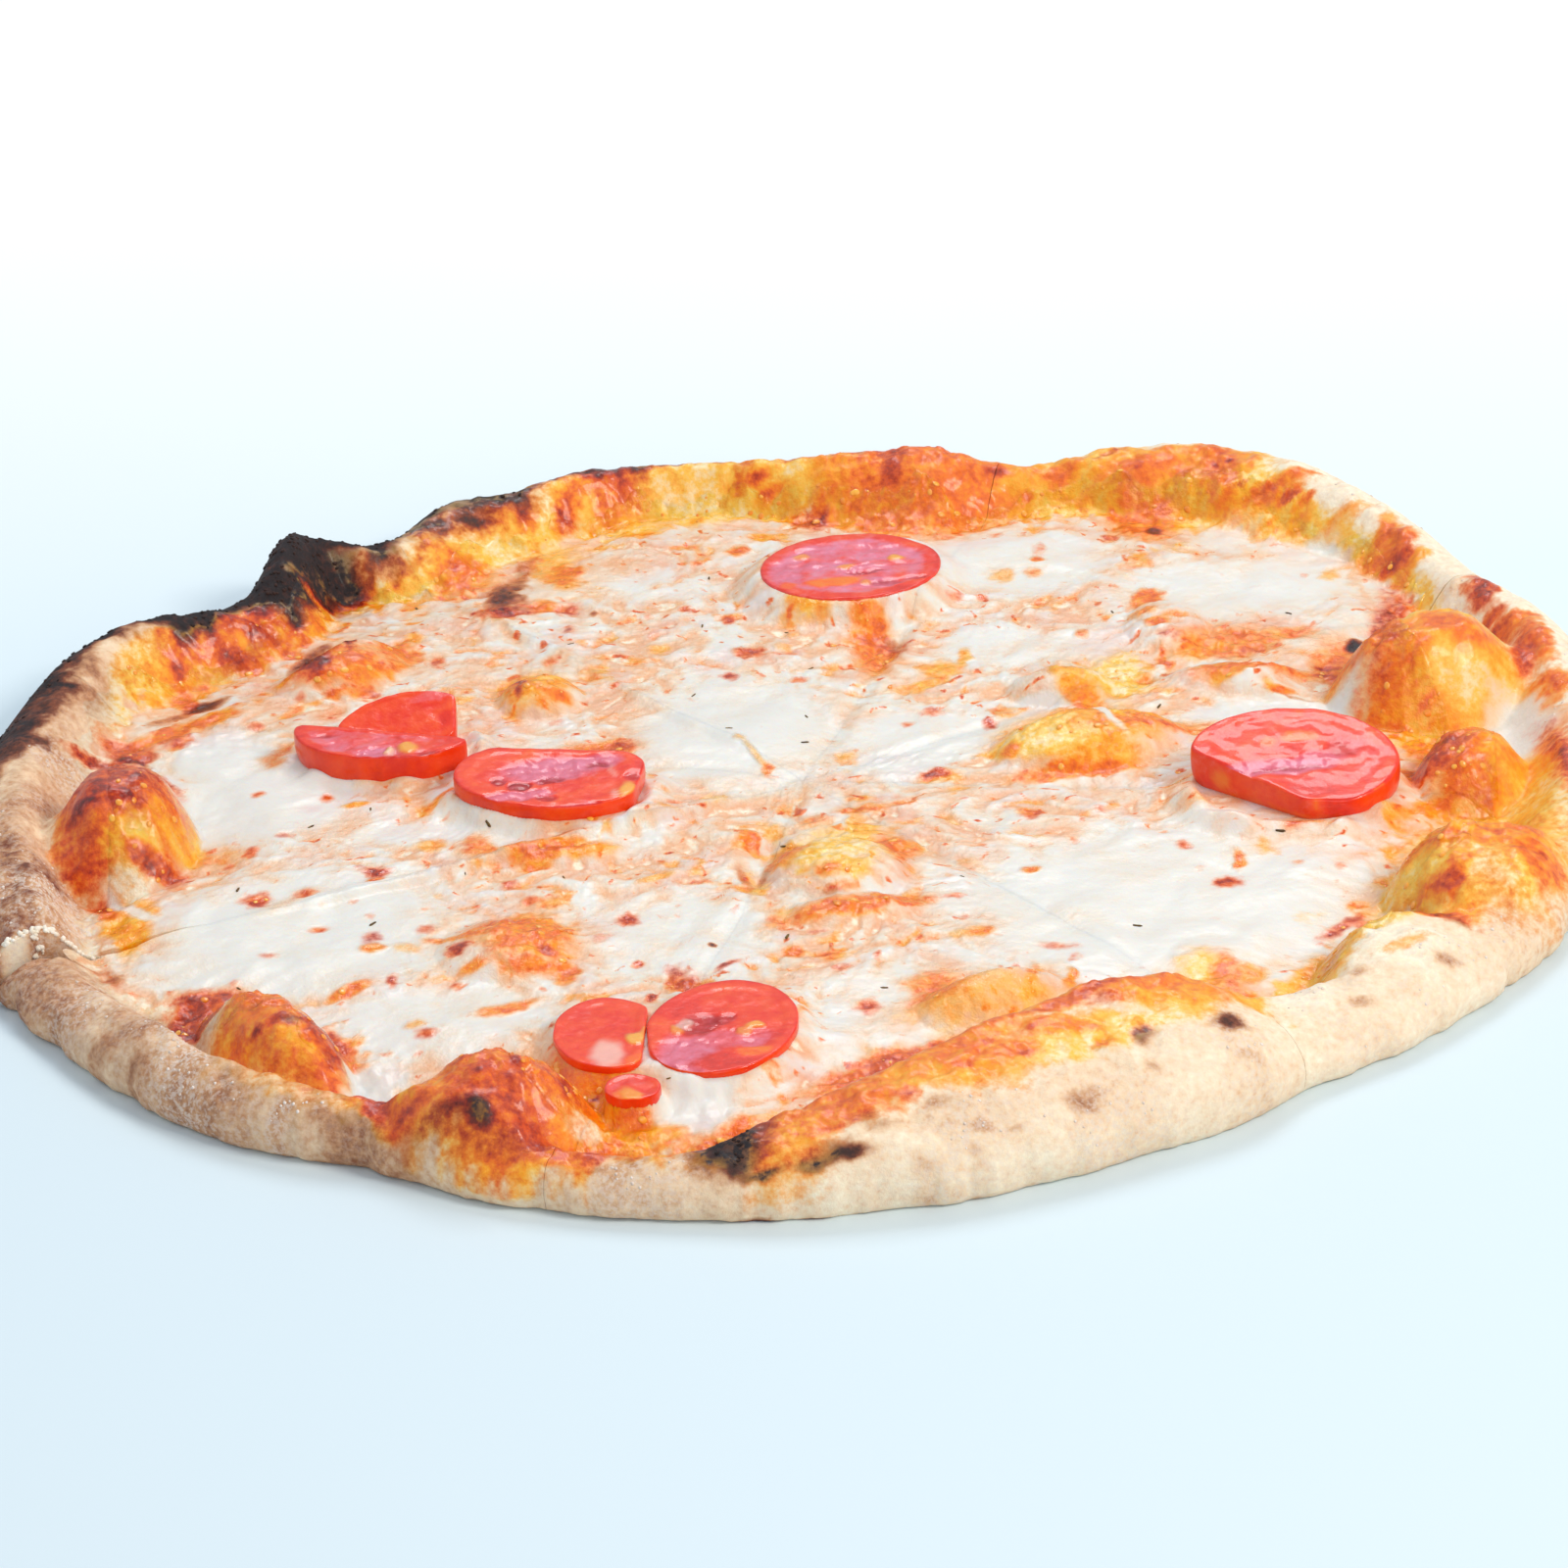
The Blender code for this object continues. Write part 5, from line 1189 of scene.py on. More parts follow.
TOMATO_PATCHES = {
    "tomato_back": (
        ("film", -1, 87, 4.2, 6.9, 0.8), ("film", 9, 96, 11.6, 3, 0.5), ("film", 23, 93, 5, 3.5, 0.5),
        ("film", 6, 89.5, 5.8, 2.6, 0.5), ("crimson", 15, 85.5, 5, 1.3, 0.7),
        ("orange", 8.5, 81.5, 6.9, 2.6, 1), ("crimson", 19.5, 79.5, 3.5, 1.7, 0.6),
        ("crimson", 25.5, 81.5, 3.1, 1.3, 0.6), ("seed", 22, 91.5, 1.7, 1.7, 0.9),
        ("seed", 2.5, 94.5, 1.7, 1.7, 0.6), ("seed", 11.5, 88.5, 2.3, 1.3, 0.6),
        ("red", 23.5, 76, 4.6, 2.6, 0.8), ("orange", -0.5, 81, 1.9, 2.6, 0.7),
        ("crimson", 25, 88.5, 3.9, 0.9, 0.4), ("seed", 15.5, 80, 1.4, 1.3, 0.5),
    ),
    "tomato_left_front": (
        ("film", -82, 10.5, 5, 2.6, 0.9), ("film", -90, 14, 3.5, 2.2, 0.4),
        ("seed", -76, 11.5, 2.1, 2.6, 0.9), ("pale", -79.5, 10.5, 1.2, 2.2, 0.6),
        ("crimson", -72, 9, 2.7, 1.7, 0.6), ("seed", -80, 11, 1, 1.7, 0.8),
        ("red", -68.5, 6, 2.7, 1.3, 0.7), ("film", -66, 8, 2.3, 1.7, 0.7),
        ("crimson", -93, 19, 2.3, 1.3, 0.5),
    ),
    "tomato_left_back": (
        # The pink strip along this piece's back top edge is a painted highlight, in the pale juice-film colour.
        ("pink", -72, 28.5, 6, 1.8, 0.9), ("red", -69, 22.5, 1.5, 2.6, 0.7),
        ("pale", -84, 13.5, 1, 1.3, 0.6), ("orange", -67.5, 13, 1.2, 6.1, 0.6),
        ("crimson", -71.5, 6, 3.9, 1.7, 0.5),
    ),
    "tomato_centre": (
        ("film", -48.5, -0.5, 11.6, 5.2, 0.9), ("film", -54.5, -9.5, 7.7, 2.2, 0.8),
        ("film", -41, 1.5, 7.7, 3, 0.9), ("crimson", -54.5, -6, 2.7, 1.7, 0.9),
        ("crimson", -58.5, -4, 1.7, 1.7, 0.8), ("crimson", -48.5, -4.5, 3.1, 1.7, 0.7),
        ("crimson", -39, 0.5, 2.3, 1.3, 0.7), ("crimson", -49.5, -11, 2.7, 1.3, 0.6),
        ("red", -45, -7.5, 2.7, 2.6, 0.6), ("seed", -33.5, -11.5, 1.7, 4.3, 0.9),
        ("pale", -36, -11, 0.8, 1.7, 0.6), ("crimson", -32.5, -5, 1.9, 2.2, 0.6),
        ("red", -31, -1, 1.5, 3.5, 0.6), ("pale", -36.5, -2, 0.8, 3.5, 0.3),
        ("crimson", -43, -15, 7.7, 0.9, 0.35), ("pink", -46, -15, 7.7, 2.6, 0.6),
    ),
    "tomato_right": (
        ("film", 89, -20.5, 12, 3, 0.9), ("film", 76, -22.5, 5, 5.2, 0.8),
        ("film", 97.5, -18.5, 5.8, 3.5, 0.6), ("crimson", 74.5, -25.5, 4.2, 1.3, 0.7),
        ("crimson", 78, -20, 3.5, 0.9, 0.7), ("seed", 76, -25, 1.9, 1.7, 0.8),
        ("crimson", 103, -15, 4.5, 3.5, 0.4), ("orange", 94.5, -11, 4.6, 2.2, 0.8),
        ("red", 95.5, -27.5, 5, 4.3, 0.8), ("pink", 106, -18.5, 3.9, 6.9, 0.5),
        ("red", 103.5, -32.5, 5.8, 11.3, 0.5), ("orange", 88.5, -12.5, 1.9, 2.2, 0.6),
        ("crimson", 91, -21, 9.7, 0.6, 0.5),
    ),
    "tomato_front_left": (
        ("pale", -38, -109.5, 3.3, 5.5, 0.7), ("seed", -33, -104.5, 1.9, 2.6, 0.95),
        ("orange", -32.5, -113, 2.7, 4.3, 0.9), ("orange", -36, -114, 1.9, 2.2, 0.6),
        ("crimson", -32, -117, 2.7, 3.5, 0.5), ("seed", -31.5, -102, 1, 1.7, 0.5),
        ("red", -39.5, -103.5, 8.9, 14.7, 0.25), ("pink", -43, -96, 3.1, 6.1, 0.4),
    ),
    "tomato_front_right": (
        ("film", -24, -112, 6.6, 8.7, 0.85), ("film", -16, -106, 8.5, 3.5, 0.5),
        ("film", -12, -108, 3.1, 2.2, 0.6), ("crimson", -21.5, -100.5, 4.6, 4.3, 0.7),
        ("seed", -11.5, -102, 1.9, 1.7, 0.8), ("pale", -24, -100, 1.5, 2.2, 0.6),
        ("red", -17, -114.5, 6.9, 3.5, 0.9), ("orange", -12, -111.5, 3.5, 2.2, 0.8),
        ("crimson", -27.5, -118, 3.1, 3.5, 0.6), ("seed", -25.5, -102, 1.2, 2.2, 0.6),
        ("crimson", -17.5, -99, 2.7, 2.2, 0.6), ("red", -25.5, -94.5, 5.8, 4.3, 0.5),
        ("seed", -13.5, -104, 1.7, 1.7, 0.5),
    ),
    "tomato_front_seed": (
        ("orange", -34.5, -127, 3.1, 5.2, 1), ("seed", -34, -125, 1.7, 3, 0.5),
        # The small pink mark to the right of the seed blob is a painted highlight.
        ("crimson", -37, -129, 1.9, 3.5, 0.4), ("pink", -31, -128, 1.2, 2.2, 0.8),
    ),
}
WALL_PATCHES = {  # (kind, x, height, half length, half height, strength) on the knife sides
    "tomato_right": (
        ("amber", 79, 11, 1.8, 2.4, 0.5), ("gel", 87, 12.2, 5.6, 3.2, 0.8),
        ("orange", 96.4, 11, 1.4, 1.8, 0.6), ("red", 100, 11, 4, 4, 0.7),
        ("ripe", 89, 8, 14, 1.5, 1), ("orange", 108, 11, 1.3, 4, 0.9),
    ),
}
TOMATO_KINDS = {  # (what is set, how far it stands up in millimetres)
    "film": ({"film": 0.95, "ripeness": 0.3}, -0.3),
    "crimson": ({"ripeness": 0.08, "film": 0.2}, -0.5),
    "red": ({"ripeness": 0.3, "film": 0.0}, 0.0), "orange": ({"ripeness": 0.64, "film": 0.0}, 0.1),
    # pink is a thin film of juice; on the left back piece's top edge and beside the seed blob it is a painted
    # highlight.
    "pink": ({"film": 0.45}, 0.0), "gel": ({"ripeness": 0.46, "film": 0.0}, 0.2),
    "ripe": ({"ripeness": 0.52, "film": 0.0}, 0.0), "amber": ({"seed": 0.8, "film": 0.0}, 0.0),
    "seed": ({"seed": 1.0, "film": 0.0}, 0.4), "pale": ({"pith": 0.9, "film": 0.0}, 0.1),
}
TOMATO_CHANNELS = ("ripeness", "film", "pith", "seed", "skin")
print(len(TOMATO_PIECES), "tomato pieces")

# %% [markdown]
# ### Wet tomato flesh
# Cooked tomato is watery and lets light in for some millimetres, more red than blue. The
# skin is thin, tight and glossy. A thin clear coat stands for the water film.

# %% Material of the tomato
FLESH = (
    (0.0, "860f1a"), (0.2, "c01c18"), (0.36, "ec3620"), (0.48, "f65224"), (0.64, "f87a1e"),
    (0.82, "f48c28"),
)
tomato_flesh, tree, shader = new_material("tomato_flesh_cooked")
place = add_node(tree, "ShaderNodeTexCoord").outputs["Object"]
ripeness, film, pith, seed, skin = (
    add_node(tree, "ShaderNodeAttribute", attribute_name=name).outputs["Fac"]
    for name in TOMATO_CHANNELS
)
fibres = add_node(tree, "ShaderNodeTexNoise", {
    "Vector": place, "Scale": MM_SCALE / 2.0, "Detail": 4.0, "Roughness": 0.6,
}).outputs["Fac"]
shift = add_node(tree, "ShaderNodeMath", {0: fibres, 1: 0.5}, operation="SUBTRACT").outputs[0]
varied = add_node(tree, "ShaderNodeMath", {0: shift, 1: 0.3, 2: ripeness}, operation="MULTIPLY_ADD")
flesh = ramp(tree, varied.outputs[0], FLESH)
streaked = add_node(tree, "ShaderNodeMath", {0: shift, 1: 1.1, 2: film}, operation="MULTIPLY_ADD")
veil = add_node(tree, "ShaderNodeMapRange", {
    "Value": streaked.outputs[0], "From Min": 0.2, "From Max": 1.1, "To Max": 0.62,
}).outputs["Result"]


def blended(tree, under, over, amount):
    """One colour over another."""
    mixed = add_node(tree, "ShaderNodeMix", data_type="RGBA")
    for socket, value in ((0, amount), (6, under), (7, over)):
        if isinstance(value, bpy.types.NodeSocket):
            tree.links.new(value, mixed.inputs[socket])
        else:
            mixed.inputs[socket].default_value = value
    return mixed.outputs[2]


veiled = blended(tree, flesh, linear("de9cc0"), veil)
veiled = blended(tree, veiled, linear("f3b04a"), seed)
veiled = blended(tree, veiled, linear("f5d6c8"), pith)
peel = ramp(tree, varied.outputs[0], ((0.3, "e02808"), (0.45, "f5440c"), (0.7, "ff6a1c")))
tree.links.new(blended(tree, veiled, peel, skin), shader.inputs["Base Color"])
glint = add_node(tree, "ShaderNodeBump", {"Height": fibres, "Strength": 0.22, "Distance": 0.0008})
tree.links.new(glint.outputs["Normal"], shader.inputs["Normal"])
shader.inputs["Roughness"].default_value = 0.3
shader.inputs["IOR"].default_value = 1.37
shader.inputs["Coat Weight"].default_value = 0.35
shader.inputs["Coat Roughness"].default_value = 0.05
shader.inputs["Subsurface Weight"].default_value = 0.2
shader.inputs["Subsurface Radius"].default_value = (1.0, 0.25, 0.15)
shader.inputs["Subsurface Scale"].default_value = 0.003
print("material:", tomato_flesh.name)

# %% [markdown]
# ### Cutting the shapes
# The outline of a piece is an oval with straight sides where the knife went. Seen from the
# middle of the piece, each direction meets either the oval or a knife side first, so the
# outline is one distance for each direction.

# %% Outlines and faces
TOMATO_DIRECTIONS = 128
GAP = 0.3


def tomato_outline(name):
    """Middle, directions, distances to the edge, and where the edge is skin."""
    place, half_length, half_width, turn, thickness, slope, sides = TOMATO_PIECES[name]
    inner = np.zeros(2)
    for facing, distance in sides:
        normal = np.array(spot_at(facing, 1.0))
        reach = math.hypot(*(normal * (half_length, half_width)))
        inner -= normal * max(0, reach - distance) / 2
    way = np.linspace(0, math.tau, TOMATO_DIRECTIONS, endpoint=False)
    ahead = np.stack([np.cos(way), np.sin(way)], 1)
    c, s = math.cos(math.radians(turn)), math.sin(math.radians(turn))
    frame_turn = np.array([[c, -s], [s, c]])
    scale = np.array([half_length, half_width])
    start, move = (inner @ frame_turn) / scale, (ahead @ frame_turn) / scale
    a, b = (move**2).sum(1), (move * start).sum(1)
    reach = (-b + np.sqrt(b * b - a * ((start**2).sum() - 1))) / a
    wobble = 0.25 * noise(*(ahead * 9).T, 4, 201 + len(name))
    reach = reach + wobble
    skin = np.ones(TOMATO_DIRECTIONS)
    for facing, distance in sides:
        normal = np.array(spot_at(facing, 1.0))
        towards = ahead @ normal
        cut = np.where(towards > 1e-3, (distance - inner @ normal) / np.maximum(towards, 1e-3), 1e3)
        skin = np.where(cut < reach, 0.0, skin)
        reach = np.minimum(reach, cut)
    for _ in range(2):
        reach = (np.roll(reach, 1) + 2 * reach + np.roll(reach, -1)) / 4
        skin = (np.roll(skin, 1) + 2 * skin + np.roll(skin, -1)) / 4
    return np.array(place) + inner, ahead, reach, skin


def make_tomato(name):
    """The visible piece: a cut face with its patches, a wall of skin or flesh, and a base."""
    place, _, _, _, thickness, (slope, towards), _ = TOMATO_PIECES[name]
    middle, ahead, reach, skin_round = tomato_outline(name)
    count = TOMATO_DIRECTIONS
    rings = max(12, round(float(reach.max()) / 0.55))
    shares = [(k / rings * 0.975, 1.0) for k in range(1, rings + 1)]
    shares += [(0.99, 0.985), (1.0, 0.94), (1.004, 0.8), (1.004, 0.6), (1.0, 0.42), (0.99, 0.25)]
    shares += [(0.97, 0.1), (0.94, -0.06)]
    uphill = math.tan(math.radians(slope)) * np.array(spot_at(towards, 1.0))
    flat = [middle[None, :]] + [middle + ahead * (reach * share)[:, None] for share, _ in shares]
    x, y = np.concatenate(flat + [middle[None, :]]).T
    level = np.concatenate([[1.0]] + [np.full(count, level) for _, level in shares] + [[-0.06]])
    out = np.concatenate([[0.0]] + [np.full(count, share) for share, _ in shares] + [[0.9]])
    skin = np.concatenate([[0.0]] + [skin_round * ease(np.array(level < 0.97), 0, 1)
                                     for _, level in shares] + [[0.0]])
    rise = thickness + (x - place[0]) * uphill[0] + (y - place[1]) * uphill[1]
    z = TOMATO_SEAT + GAP + rise * level
    state = {channel: np.zeros(len(x)) for channel in TOMATO_CHANNELS}
    state["ripeness"] += TOMATO_BASE[name][0] + 0.08 * rough(x, y, 6, 211, 2)
    state["film"] += TOMATO_BASE[name][1] * (1 + 0.7 * rough(x, y, 5, 213, 3))
    state["skin"] = skin
    face = level > 0.97
    rim_wall = face * ease(out, 0.76, 0.86)
    state["film"] *= 1 - 0.75 * rim_wall
    state["ripeness"] -= 0.06 * ease(out, 0.93, 0.975) * face
    height = 0.12 * rough(*drifted(x, y, 6, 2, 214), 4.6, 215, 2) + 0.15 * rim_wall
    wander = (x + 0.7 * noise(x, y, 3, 217), y + 0.7 * noise(x, y, 3, 218))

    def painted(kind, over):
        aims, stands = TOMATO_KINDS[kind]
        for channel, aim in aims.items():
            state[channel] += (aim - state[channel]) * over
        return stands

    for kind, px, py, a, b, strength in TOMATO_PATCHES[name]:
        over = strength * (1 - ease(oval(*wander, (px, py, a, b, 3)), 0.55, 1.15)) * face
        height += (painted(kind, over) - height) * over
    height += (0.3 * state["film"] + 0.2 * (state["ripeness"] < 0.2)) * rough(*wander, 3.2, 216, 2)
    for kind, px, pz, a, b, strength in WALL_PATCHES.get(name, ()):
        over = strength * (1 - ease(oval(x, z, (px, pz, a, b, 0)), 0.6, 1.1)) * (level < 0.99)
        painted(kind, over * (1 - skin))
    z = z + height * face
    index = [np.arange(1 + k * count, 1 + (k + 1) * count) for k in range(len(shares))]
    after = np.roll(np.arange(count), -1)
    faces = [np.stack([np.zeros(count, int), index[0], index[0][after]], 1)]
    for a, b in zip(index, index[1:]):
        faces += [np.stack([a, b, b[after]], 1), np.stack([a, b[after], a[after]], 1)]
    faces.append(np.stack([np.full(count, len(x) - 1), index[-1][after], index[-1]], 1))
    channels = {channel: np.clip(values, 0, 1) for channel, values in state.items()}
    piece = finished_mesh(
        name.replace("tomato", "tomato_cut"), np.stack([x, y, z], 1), np.concatenate(faces),
        channels, tomato_flesh)
    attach(piece, "root")
    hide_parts(name)
    return piece


tomatoes = [make_tomato(name) for name in TOMATO_PIECES]
print("tomato triangles:", sum(len(piece.data.polygons) for piece in tomatoes))

# %% [markdown]
# ## What is strewn over the surface
# Beads of fat, grains of flour, crumbs of charred dough and flecks of dried herb are small
# and countless. They could be drawn in the materials, but real grains catch the light and
# break up the edge. Geometry Nodes spread them: points are strewn where an attribute is
# high, a small lump stands on each point, and the lumps become plain mesh at the end.

# %% A tree that strews lumps
GRAIN_INPUTS = {  # name: socket type
    "Ground": "NodeSocketCollection", "Channel": "NodeSocketString", "From": "NodeSocketFloat",
    "To": "NodeSocketFloat", "Per square metre": "NodeSocketFloat", "Smallest": "NodeSocketFloat",
    "Largest": "NodeSocketFloat", "Stretch": "NodeSocketVector", "Raggedness": "NodeSocketFloat",
    "Rounding": "NodeSocketInt", "Seed": "NodeSocketInt", "Finish": "NodeSocketMaterial",
}
strew = bpy.data.node_groups.new("strewn_over", "GeometryNodeTree")
for name, kind in GRAIN_INPUTS.items():
    strew.interface.new_socket(name=name, in_out="INPUT", socket_type=kind)
strew.interface.new_socket(name="Mesh", in_out="OUTPUT", socket_type="NodeSocketGeometry")
asked = add_node(strew, "NodeGroupInput").outputs
ground = add_node(strew, "GeometryNodeCollectionInfo", {"Collection": asked["Ground"]})
ground = add_node(strew, "GeometryNodeRealizeInstances", {"Geometry": ground.outputs[0]})
channel = add_node(strew, "GeometryNodeInputNamedAttribute", {"Name": asked["Channel"]},
                   data_type="FLOAT")
chance = add_node(strew, "ShaderNodeMapRange", {
    "Value": channel.outputs[0], "From Min": asked["From"], "From Max": asked["To"],
    "To Max": asked["Per square metre"],
})
facing = add_node(strew, "ShaderNodeSeparateXYZ", {
    "Vector": add_node(strew, "GeometryNodeInputNormal").outputs[0]})
upward = add_node(strew, "FunctionNodeCompare", {0: facing.outputs["Z"], 1: 0.4},
                  data_type="FLOAT", operation="GREATER_THAN")
height = add_node(strew, "ShaderNodeSeparateXYZ", {
    "Vector": add_node(strew, "GeometryNodeInputPosition").outputs[0]})
off_table = add_node(strew, "FunctionNodeCompare", {0: height.outputs["Z"], 1: 0.0012},
                     data_type="FLOAT", operation="GREATER_THAN")
upward = add_node(strew, "FunctionNodeBooleanMath", {
    0: upward.outputs[0], 1: off_table.outputs[0]}, operation="AND")
points = add_node(strew, "GeometryNodeDistributePointsOnFaces", {
    "Mesh": ground.outputs[0], "Selection": upward.outputs[0],
    "Density": chance.outputs["Result"], "Seed": asked["Seed"],
}, distribute_method="RANDOM")
lump = add_node(strew, "GeometryNodeMeshIcoSphere", {
    "Radius": 1.0, "Subdivisions": asked["Rounding"]})
dented = add_node(strew, "ShaderNodeTexNoise", {
    "Vector": add_node(strew, "GeometryNodeInputPosition").outputs[0], "Scale": 1.3})
centred = add_node(strew, "ShaderNodeVectorMath", {0: dented.outputs["Color"], 1: (0.5, 0.5, 0.5)},
                   operation="SUBTRACT")
moved = add_node(strew, "ShaderNodeVectorMath", {
    0: centred.outputs[0], "Scale": asked["Raggedness"]}, operation="SCALE")
lump = add_node(strew, "GeometryNodeSetPosition", {
    "Geometry": lump.outputs["Mesh"], "Offset": moved.outputs[0]})
lump = add_node(strew, "GeometryNodeTransform", {
    "Geometry": lump.outputs[0], "Scale": asked["Stretch"]})
spin = add_node(strew, "FunctionNodeRandomValue", {
    2: 0.0, 3: math.tau, "Seed": asked["Seed"]}, data_type="FLOAT")
spun = add_node(strew, "FunctionNodeAxisAngleToRotation", {
    "Axis": (0, 0, 1), "Angle": spin.outputs[1]})
turned = add_node(strew, "FunctionNodeRotateRotation", {
    "Rotation": points.outputs["Rotation"], "Rotate By": spun.outputs[0]}, rotation_space="LOCAL")
size = add_node(strew, "FunctionNodeRandomValue", {
    2: asked["Smallest"], 3: asked["Largest"], "Seed": asked["Seed"]}, data_type="FLOAT")
placed = add_node(strew, "GeometryNodeInstanceOnPoints", {
    "Points": points.outputs["Points"], "Instance": lump.outputs[0],
    "Rotation": turned.outputs[0], "Scale": size.outputs[1],
})
solid = add_node(strew, "GeometryNodeRealizeInstances", {"Geometry": placed.outputs[0]})
finish = add_node(strew, "GeometryNodeSetMaterial", {
    "Geometry": solid.outputs[0], "Material": asked["Finish"]})
add_node(strew, "NodeGroupOutput", {"Mesh": finish.outputs[0]})
print(strew.name, "has", len(strew.nodes), "nodes")

# %% Strewing one kind


def ground_of(name, pieces):
    """A collection of pieces for the tree to strew over."""
    group = bpy.data.collections.new(name)
    for piece in pieces:
        group.objects.link(piece)
    return group


def strewn(name, slot, **values):
    """One kind of grain as a plain mesh that rides with the pizza."""
    carrier = bpy.data.objects.new(name + "_maker", bpy.data.meshes.new(name + "_maker"))
    bpy.context.scene.collection.objects.link(carrier)
    maker = carrier.modifiers.new("strewn", "NODES")
    maker.node_group = strew
    for socket in strew.interface.items_tree:
        if socket.in_out == "INPUT":
            maker[socket.identifier] = values[socket.name.lower().replace(" ", "_")]
    bpy.context.view_layer.update()
    ready = carrier.evaluated_get(bpy.context.evaluated_depsgraph_get())
    mesh = bpy.data.meshes.new_from_object(ready)
    bpy.data.objects.remove(carrier)
    mesh.name = name
    mesh.shade_smooth()
    piece = bpy.data.objects.new(name, mesh)
    bpy.context.scene.collection.objects.link(piece)
    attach(piece, "root")
    print(name, len(mesh.polygons), "triangles")
    return piece


crust_ground = ground_of("crust_ground", crusts)
cheese_ground = ground_of("cheese_ground", cheeses)

# %% Materials of the grains


def grain_material(name, low, high, roughness, scale):
    """A material of two tones that change from grain to grain."""
    made, tree, shader = new_material(name)
    place = add_node(tree, "ShaderNodeTexCoord").outputs["Object"]
    tone = add_node(tree, "ShaderNodeTexNoise", {
        "Vector": place, "Scale": MM_SCALE / scale, "Detail": 2.0})
    tree.links.new(ramp(tree, tone.outputs["Fac"], ((0.35, low), (0.65, high))),
                   shader.inputs["Base Color"])
    shader.inputs["Roughness"].default_value = roughness
    return made


# Flour stays matt and chalky. Charred crumbs are dry carbon. Oregano dries to a dull dark
# green. Fat is clear, tinted by the tomato, and set as smooth as glass.
flour_grain = grain_material("wheat_flour_dry", "d9c3b2", "f2e8df", 0.9, 1.5)
char_grain = grain_material("dough_charred", "1c1213", "3d2620", 0.9, 2.0)
herb_grain = grain_material("oregano_dried", "4a3210", "7a5f22", 0.7, 2.0)
fat_grain = grain_material("milk_fat_tinted", "f0871c", "f9b944", 0.08, 6.0)
shader = fat_grain.node_tree.nodes["Principled BSDF"]
shader.inputs["IOR"].default_value = 1.46
shader.inputs["Coat Weight"].default_value = 0.6
shader.inputs["Coat Roughness"].default_value = 0.03

crumb_grain = grain_material("bread_crumb_soft", "f1e4cd", "fffaf0", 0.8, 1.5)

# %% Flour, char, fat, herbs, and the crumb of the torn crust
strewn("torn_crumb", "crust", ground=crust_ground, channel="torn", to=1.0,
       per_square_metre=2.2e6, smallest=0.00025, largest=0.0008, stretch=(1.0, 0.8, 0.7),
       raggedness=1.0, rounding=1, seed=11, finish=crumb_grain, **{"from": 0.2})
strewn("flour_grains", "crust", ground=crust_ground, channel="flour", to=1.0,
       per_square_metre=3.2e5, smallest=0.00018, largest=0.00042, stretch=(1.0, 0.9, 0.5),
       raggedness=0.8, rounding=1, seed=3, finish=flour_grain, **{"from": 0.25})
strewn("char_crumbs", "crust", ground=crust_ground, channel="toast", to=1.0,
       per_square_metre=2.5e5, smallest=0.0002, largest=0.0006, stretch=(1.0, 0.8, 0.6),
       raggedness=1.2, rounding=1, seed=5, finish=char_grain, **{"from": 0.88})
strewn("fat_beads", "cheese", ground=cheese_ground, channel="fat", to=1.0,
       per_square_metre=5e4, smallest=0.0002, largest=0.0009, stretch=(1.0, 0.85, 0.3),
       raggedness=0.3, rounding=2, seed=7, finish=fat_grain, **{"from": 0.75})
strewn("herb_flecks", "cheese", ground=cheese_ground, channel="cheese", to=1.0,
       per_square_metre=900, smallest=0.0004, largest=0.0009, stretch=(1.3, 0.4, 0.25),
       raggedness=0.9, rounding=1, seed=9, finish=herb_grain, **{"from": 0.1})
for group in (crust_ground, cheese_ground):
    bpy.data.collections.remove(group)
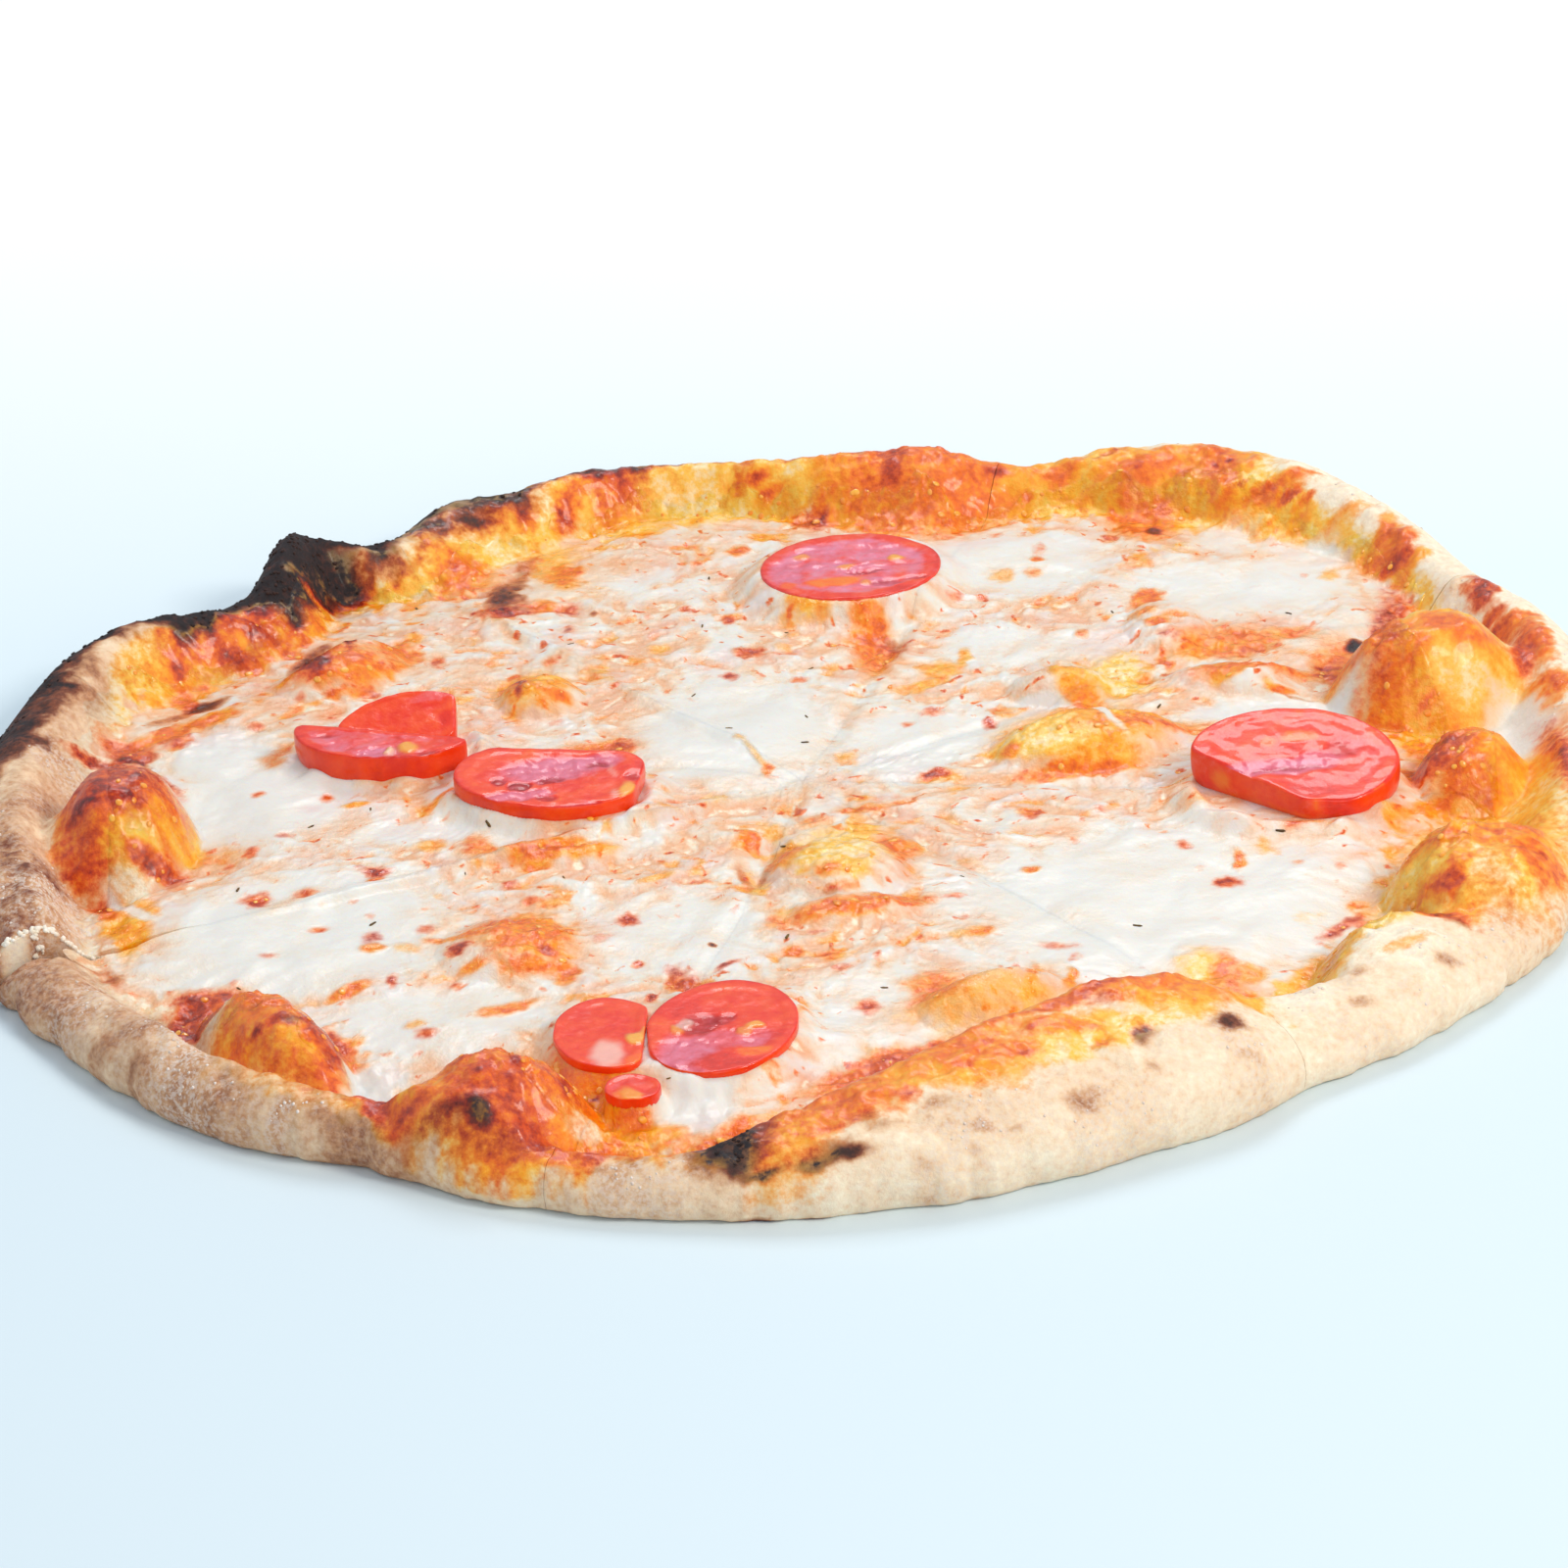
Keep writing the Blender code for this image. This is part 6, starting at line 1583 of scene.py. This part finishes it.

# %% [markdown]
# ## Table, light and camera
# The pizza lies on a pale table in bright soft daylight, seen from the front at the
# height of someone sitting down to eat it. The table's colour holds painted light: bluish
# grey near the viewer and white farther back, as if the far part were lit more brightly.

# %% Table
table_mesh = bpy.data.meshes.new("table")
far = 6.0
table_mesh.from_pydata([(-far, -far, 0), (far, -far, 0), (far, far, 0), (-far, far, 0)], [], [(0, 1, 2, 3)])
table = bpy.data.objects.new("table", table_mesh)
bpy.context.scene.collection.objects.link(table)
table_paint, tree, shader = new_material("table_painted_matt")
place = add_node(tree, "ShaderNodeTexCoord").outputs["Object"]
cloudy = add_node(tree, "ShaderNodeTexNoise", {"Vector": place, "Scale": 3.0, "Detail": 2.0})
# The colour runs from bluish grey near the viewer to white farther back, with a little cloudiness: painted
# light falloff.
depth = add_node(tree, "ShaderNodeSeparateXYZ", {"Vector": place}).outputs["Y"]
painted_falloff = add_node(tree, "ShaderNodeMath", {0: cloudy.outputs["Fac"], 1: 0.1, 2: depth}, operation="MULTIPLY_ADD")
tint = ramp(tree, painted_falloff.outputs[0], ((0.0, "d8e9f2"), (0.14, "dff0f8"), (0.42, "ffffff")))
tree.links.new(tint, shader.inputs["Base Color"])
shader.inputs["Roughness"].default_value = 0.7
table_mesh.materials.append(table_paint)

# %% Light
sky = bpy.data.worlds.new("bright_room")
sky.use_nodes = True
sky.node_tree.nodes["Background"].inputs["Color"].default_value = linear("f2f8ff")
sky.node_tree.nodes["Background"].inputs["Strength"].default_value = 0.5
bpy.context.scene.world = sky


def soft_light(name, place, size, power, colour):
    """A square lamp that faces the pizza."""
    lamp = bpy.data.lights.new(name, "AREA")
    lamp.shape, lamp.size, lamp.energy = "SQUARE", size, power
    lamp.color = linear(colour)[:3]
    held = bpy.data.objects.new(name, lamp)
    held.location = place
    held.rotation_euler = (-Vector(place)).to_track_quat("-Z", "Y").to_euler()
    bpy.context.scene.collection.objects.link(held)


soft_light("window_right", (0.95, -0.6, 0.95), 0.42, 11, "fff6ea")
soft_light("window_front", (0.15, -1.35, 0.45), 0.6, 2.2, "fff8f0")
soft_light("window_left", (-1.2, 0.3, 1.1), 1.2, 3, "f2f7ff")
soft_light("wall_behind", (0.1, 0.85, 1.25), 0.6, 8, "f7fbff")

# %% Camera
ELEVATION, DISTANCE, ROLL, LENS = 26.47, 1.28, -3.48, 145.8
AIM = Vector((-1.41, 54.83, -18.6)) * MM
down = math.radians(ELEVATION)
ahead = Vector((0, math.cos(down), -math.sin(down)))
camera_data = bpy.data.cameras.new("camera")
camera_data.lens, camera_data.sensor_width, camera_data.clip_start = LENS, 36.0, 0.01
camera = bpy.data.objects.new("camera", camera_data)
camera.location = AIM - ahead * DISTANCE
camera.rotation_mode = "QUATERNION"
camera.rotation_quaternion = (
    ahead.to_track_quat("-Z", "Y") @ Quaternion((0, 0, 1), math.radians(ROLL))
)
bpy.context.scene.collection.objects.link(camera)
bpy.context.scene.camera = camera
bpy.context.scene.view_settings.view_transform = "Standard"
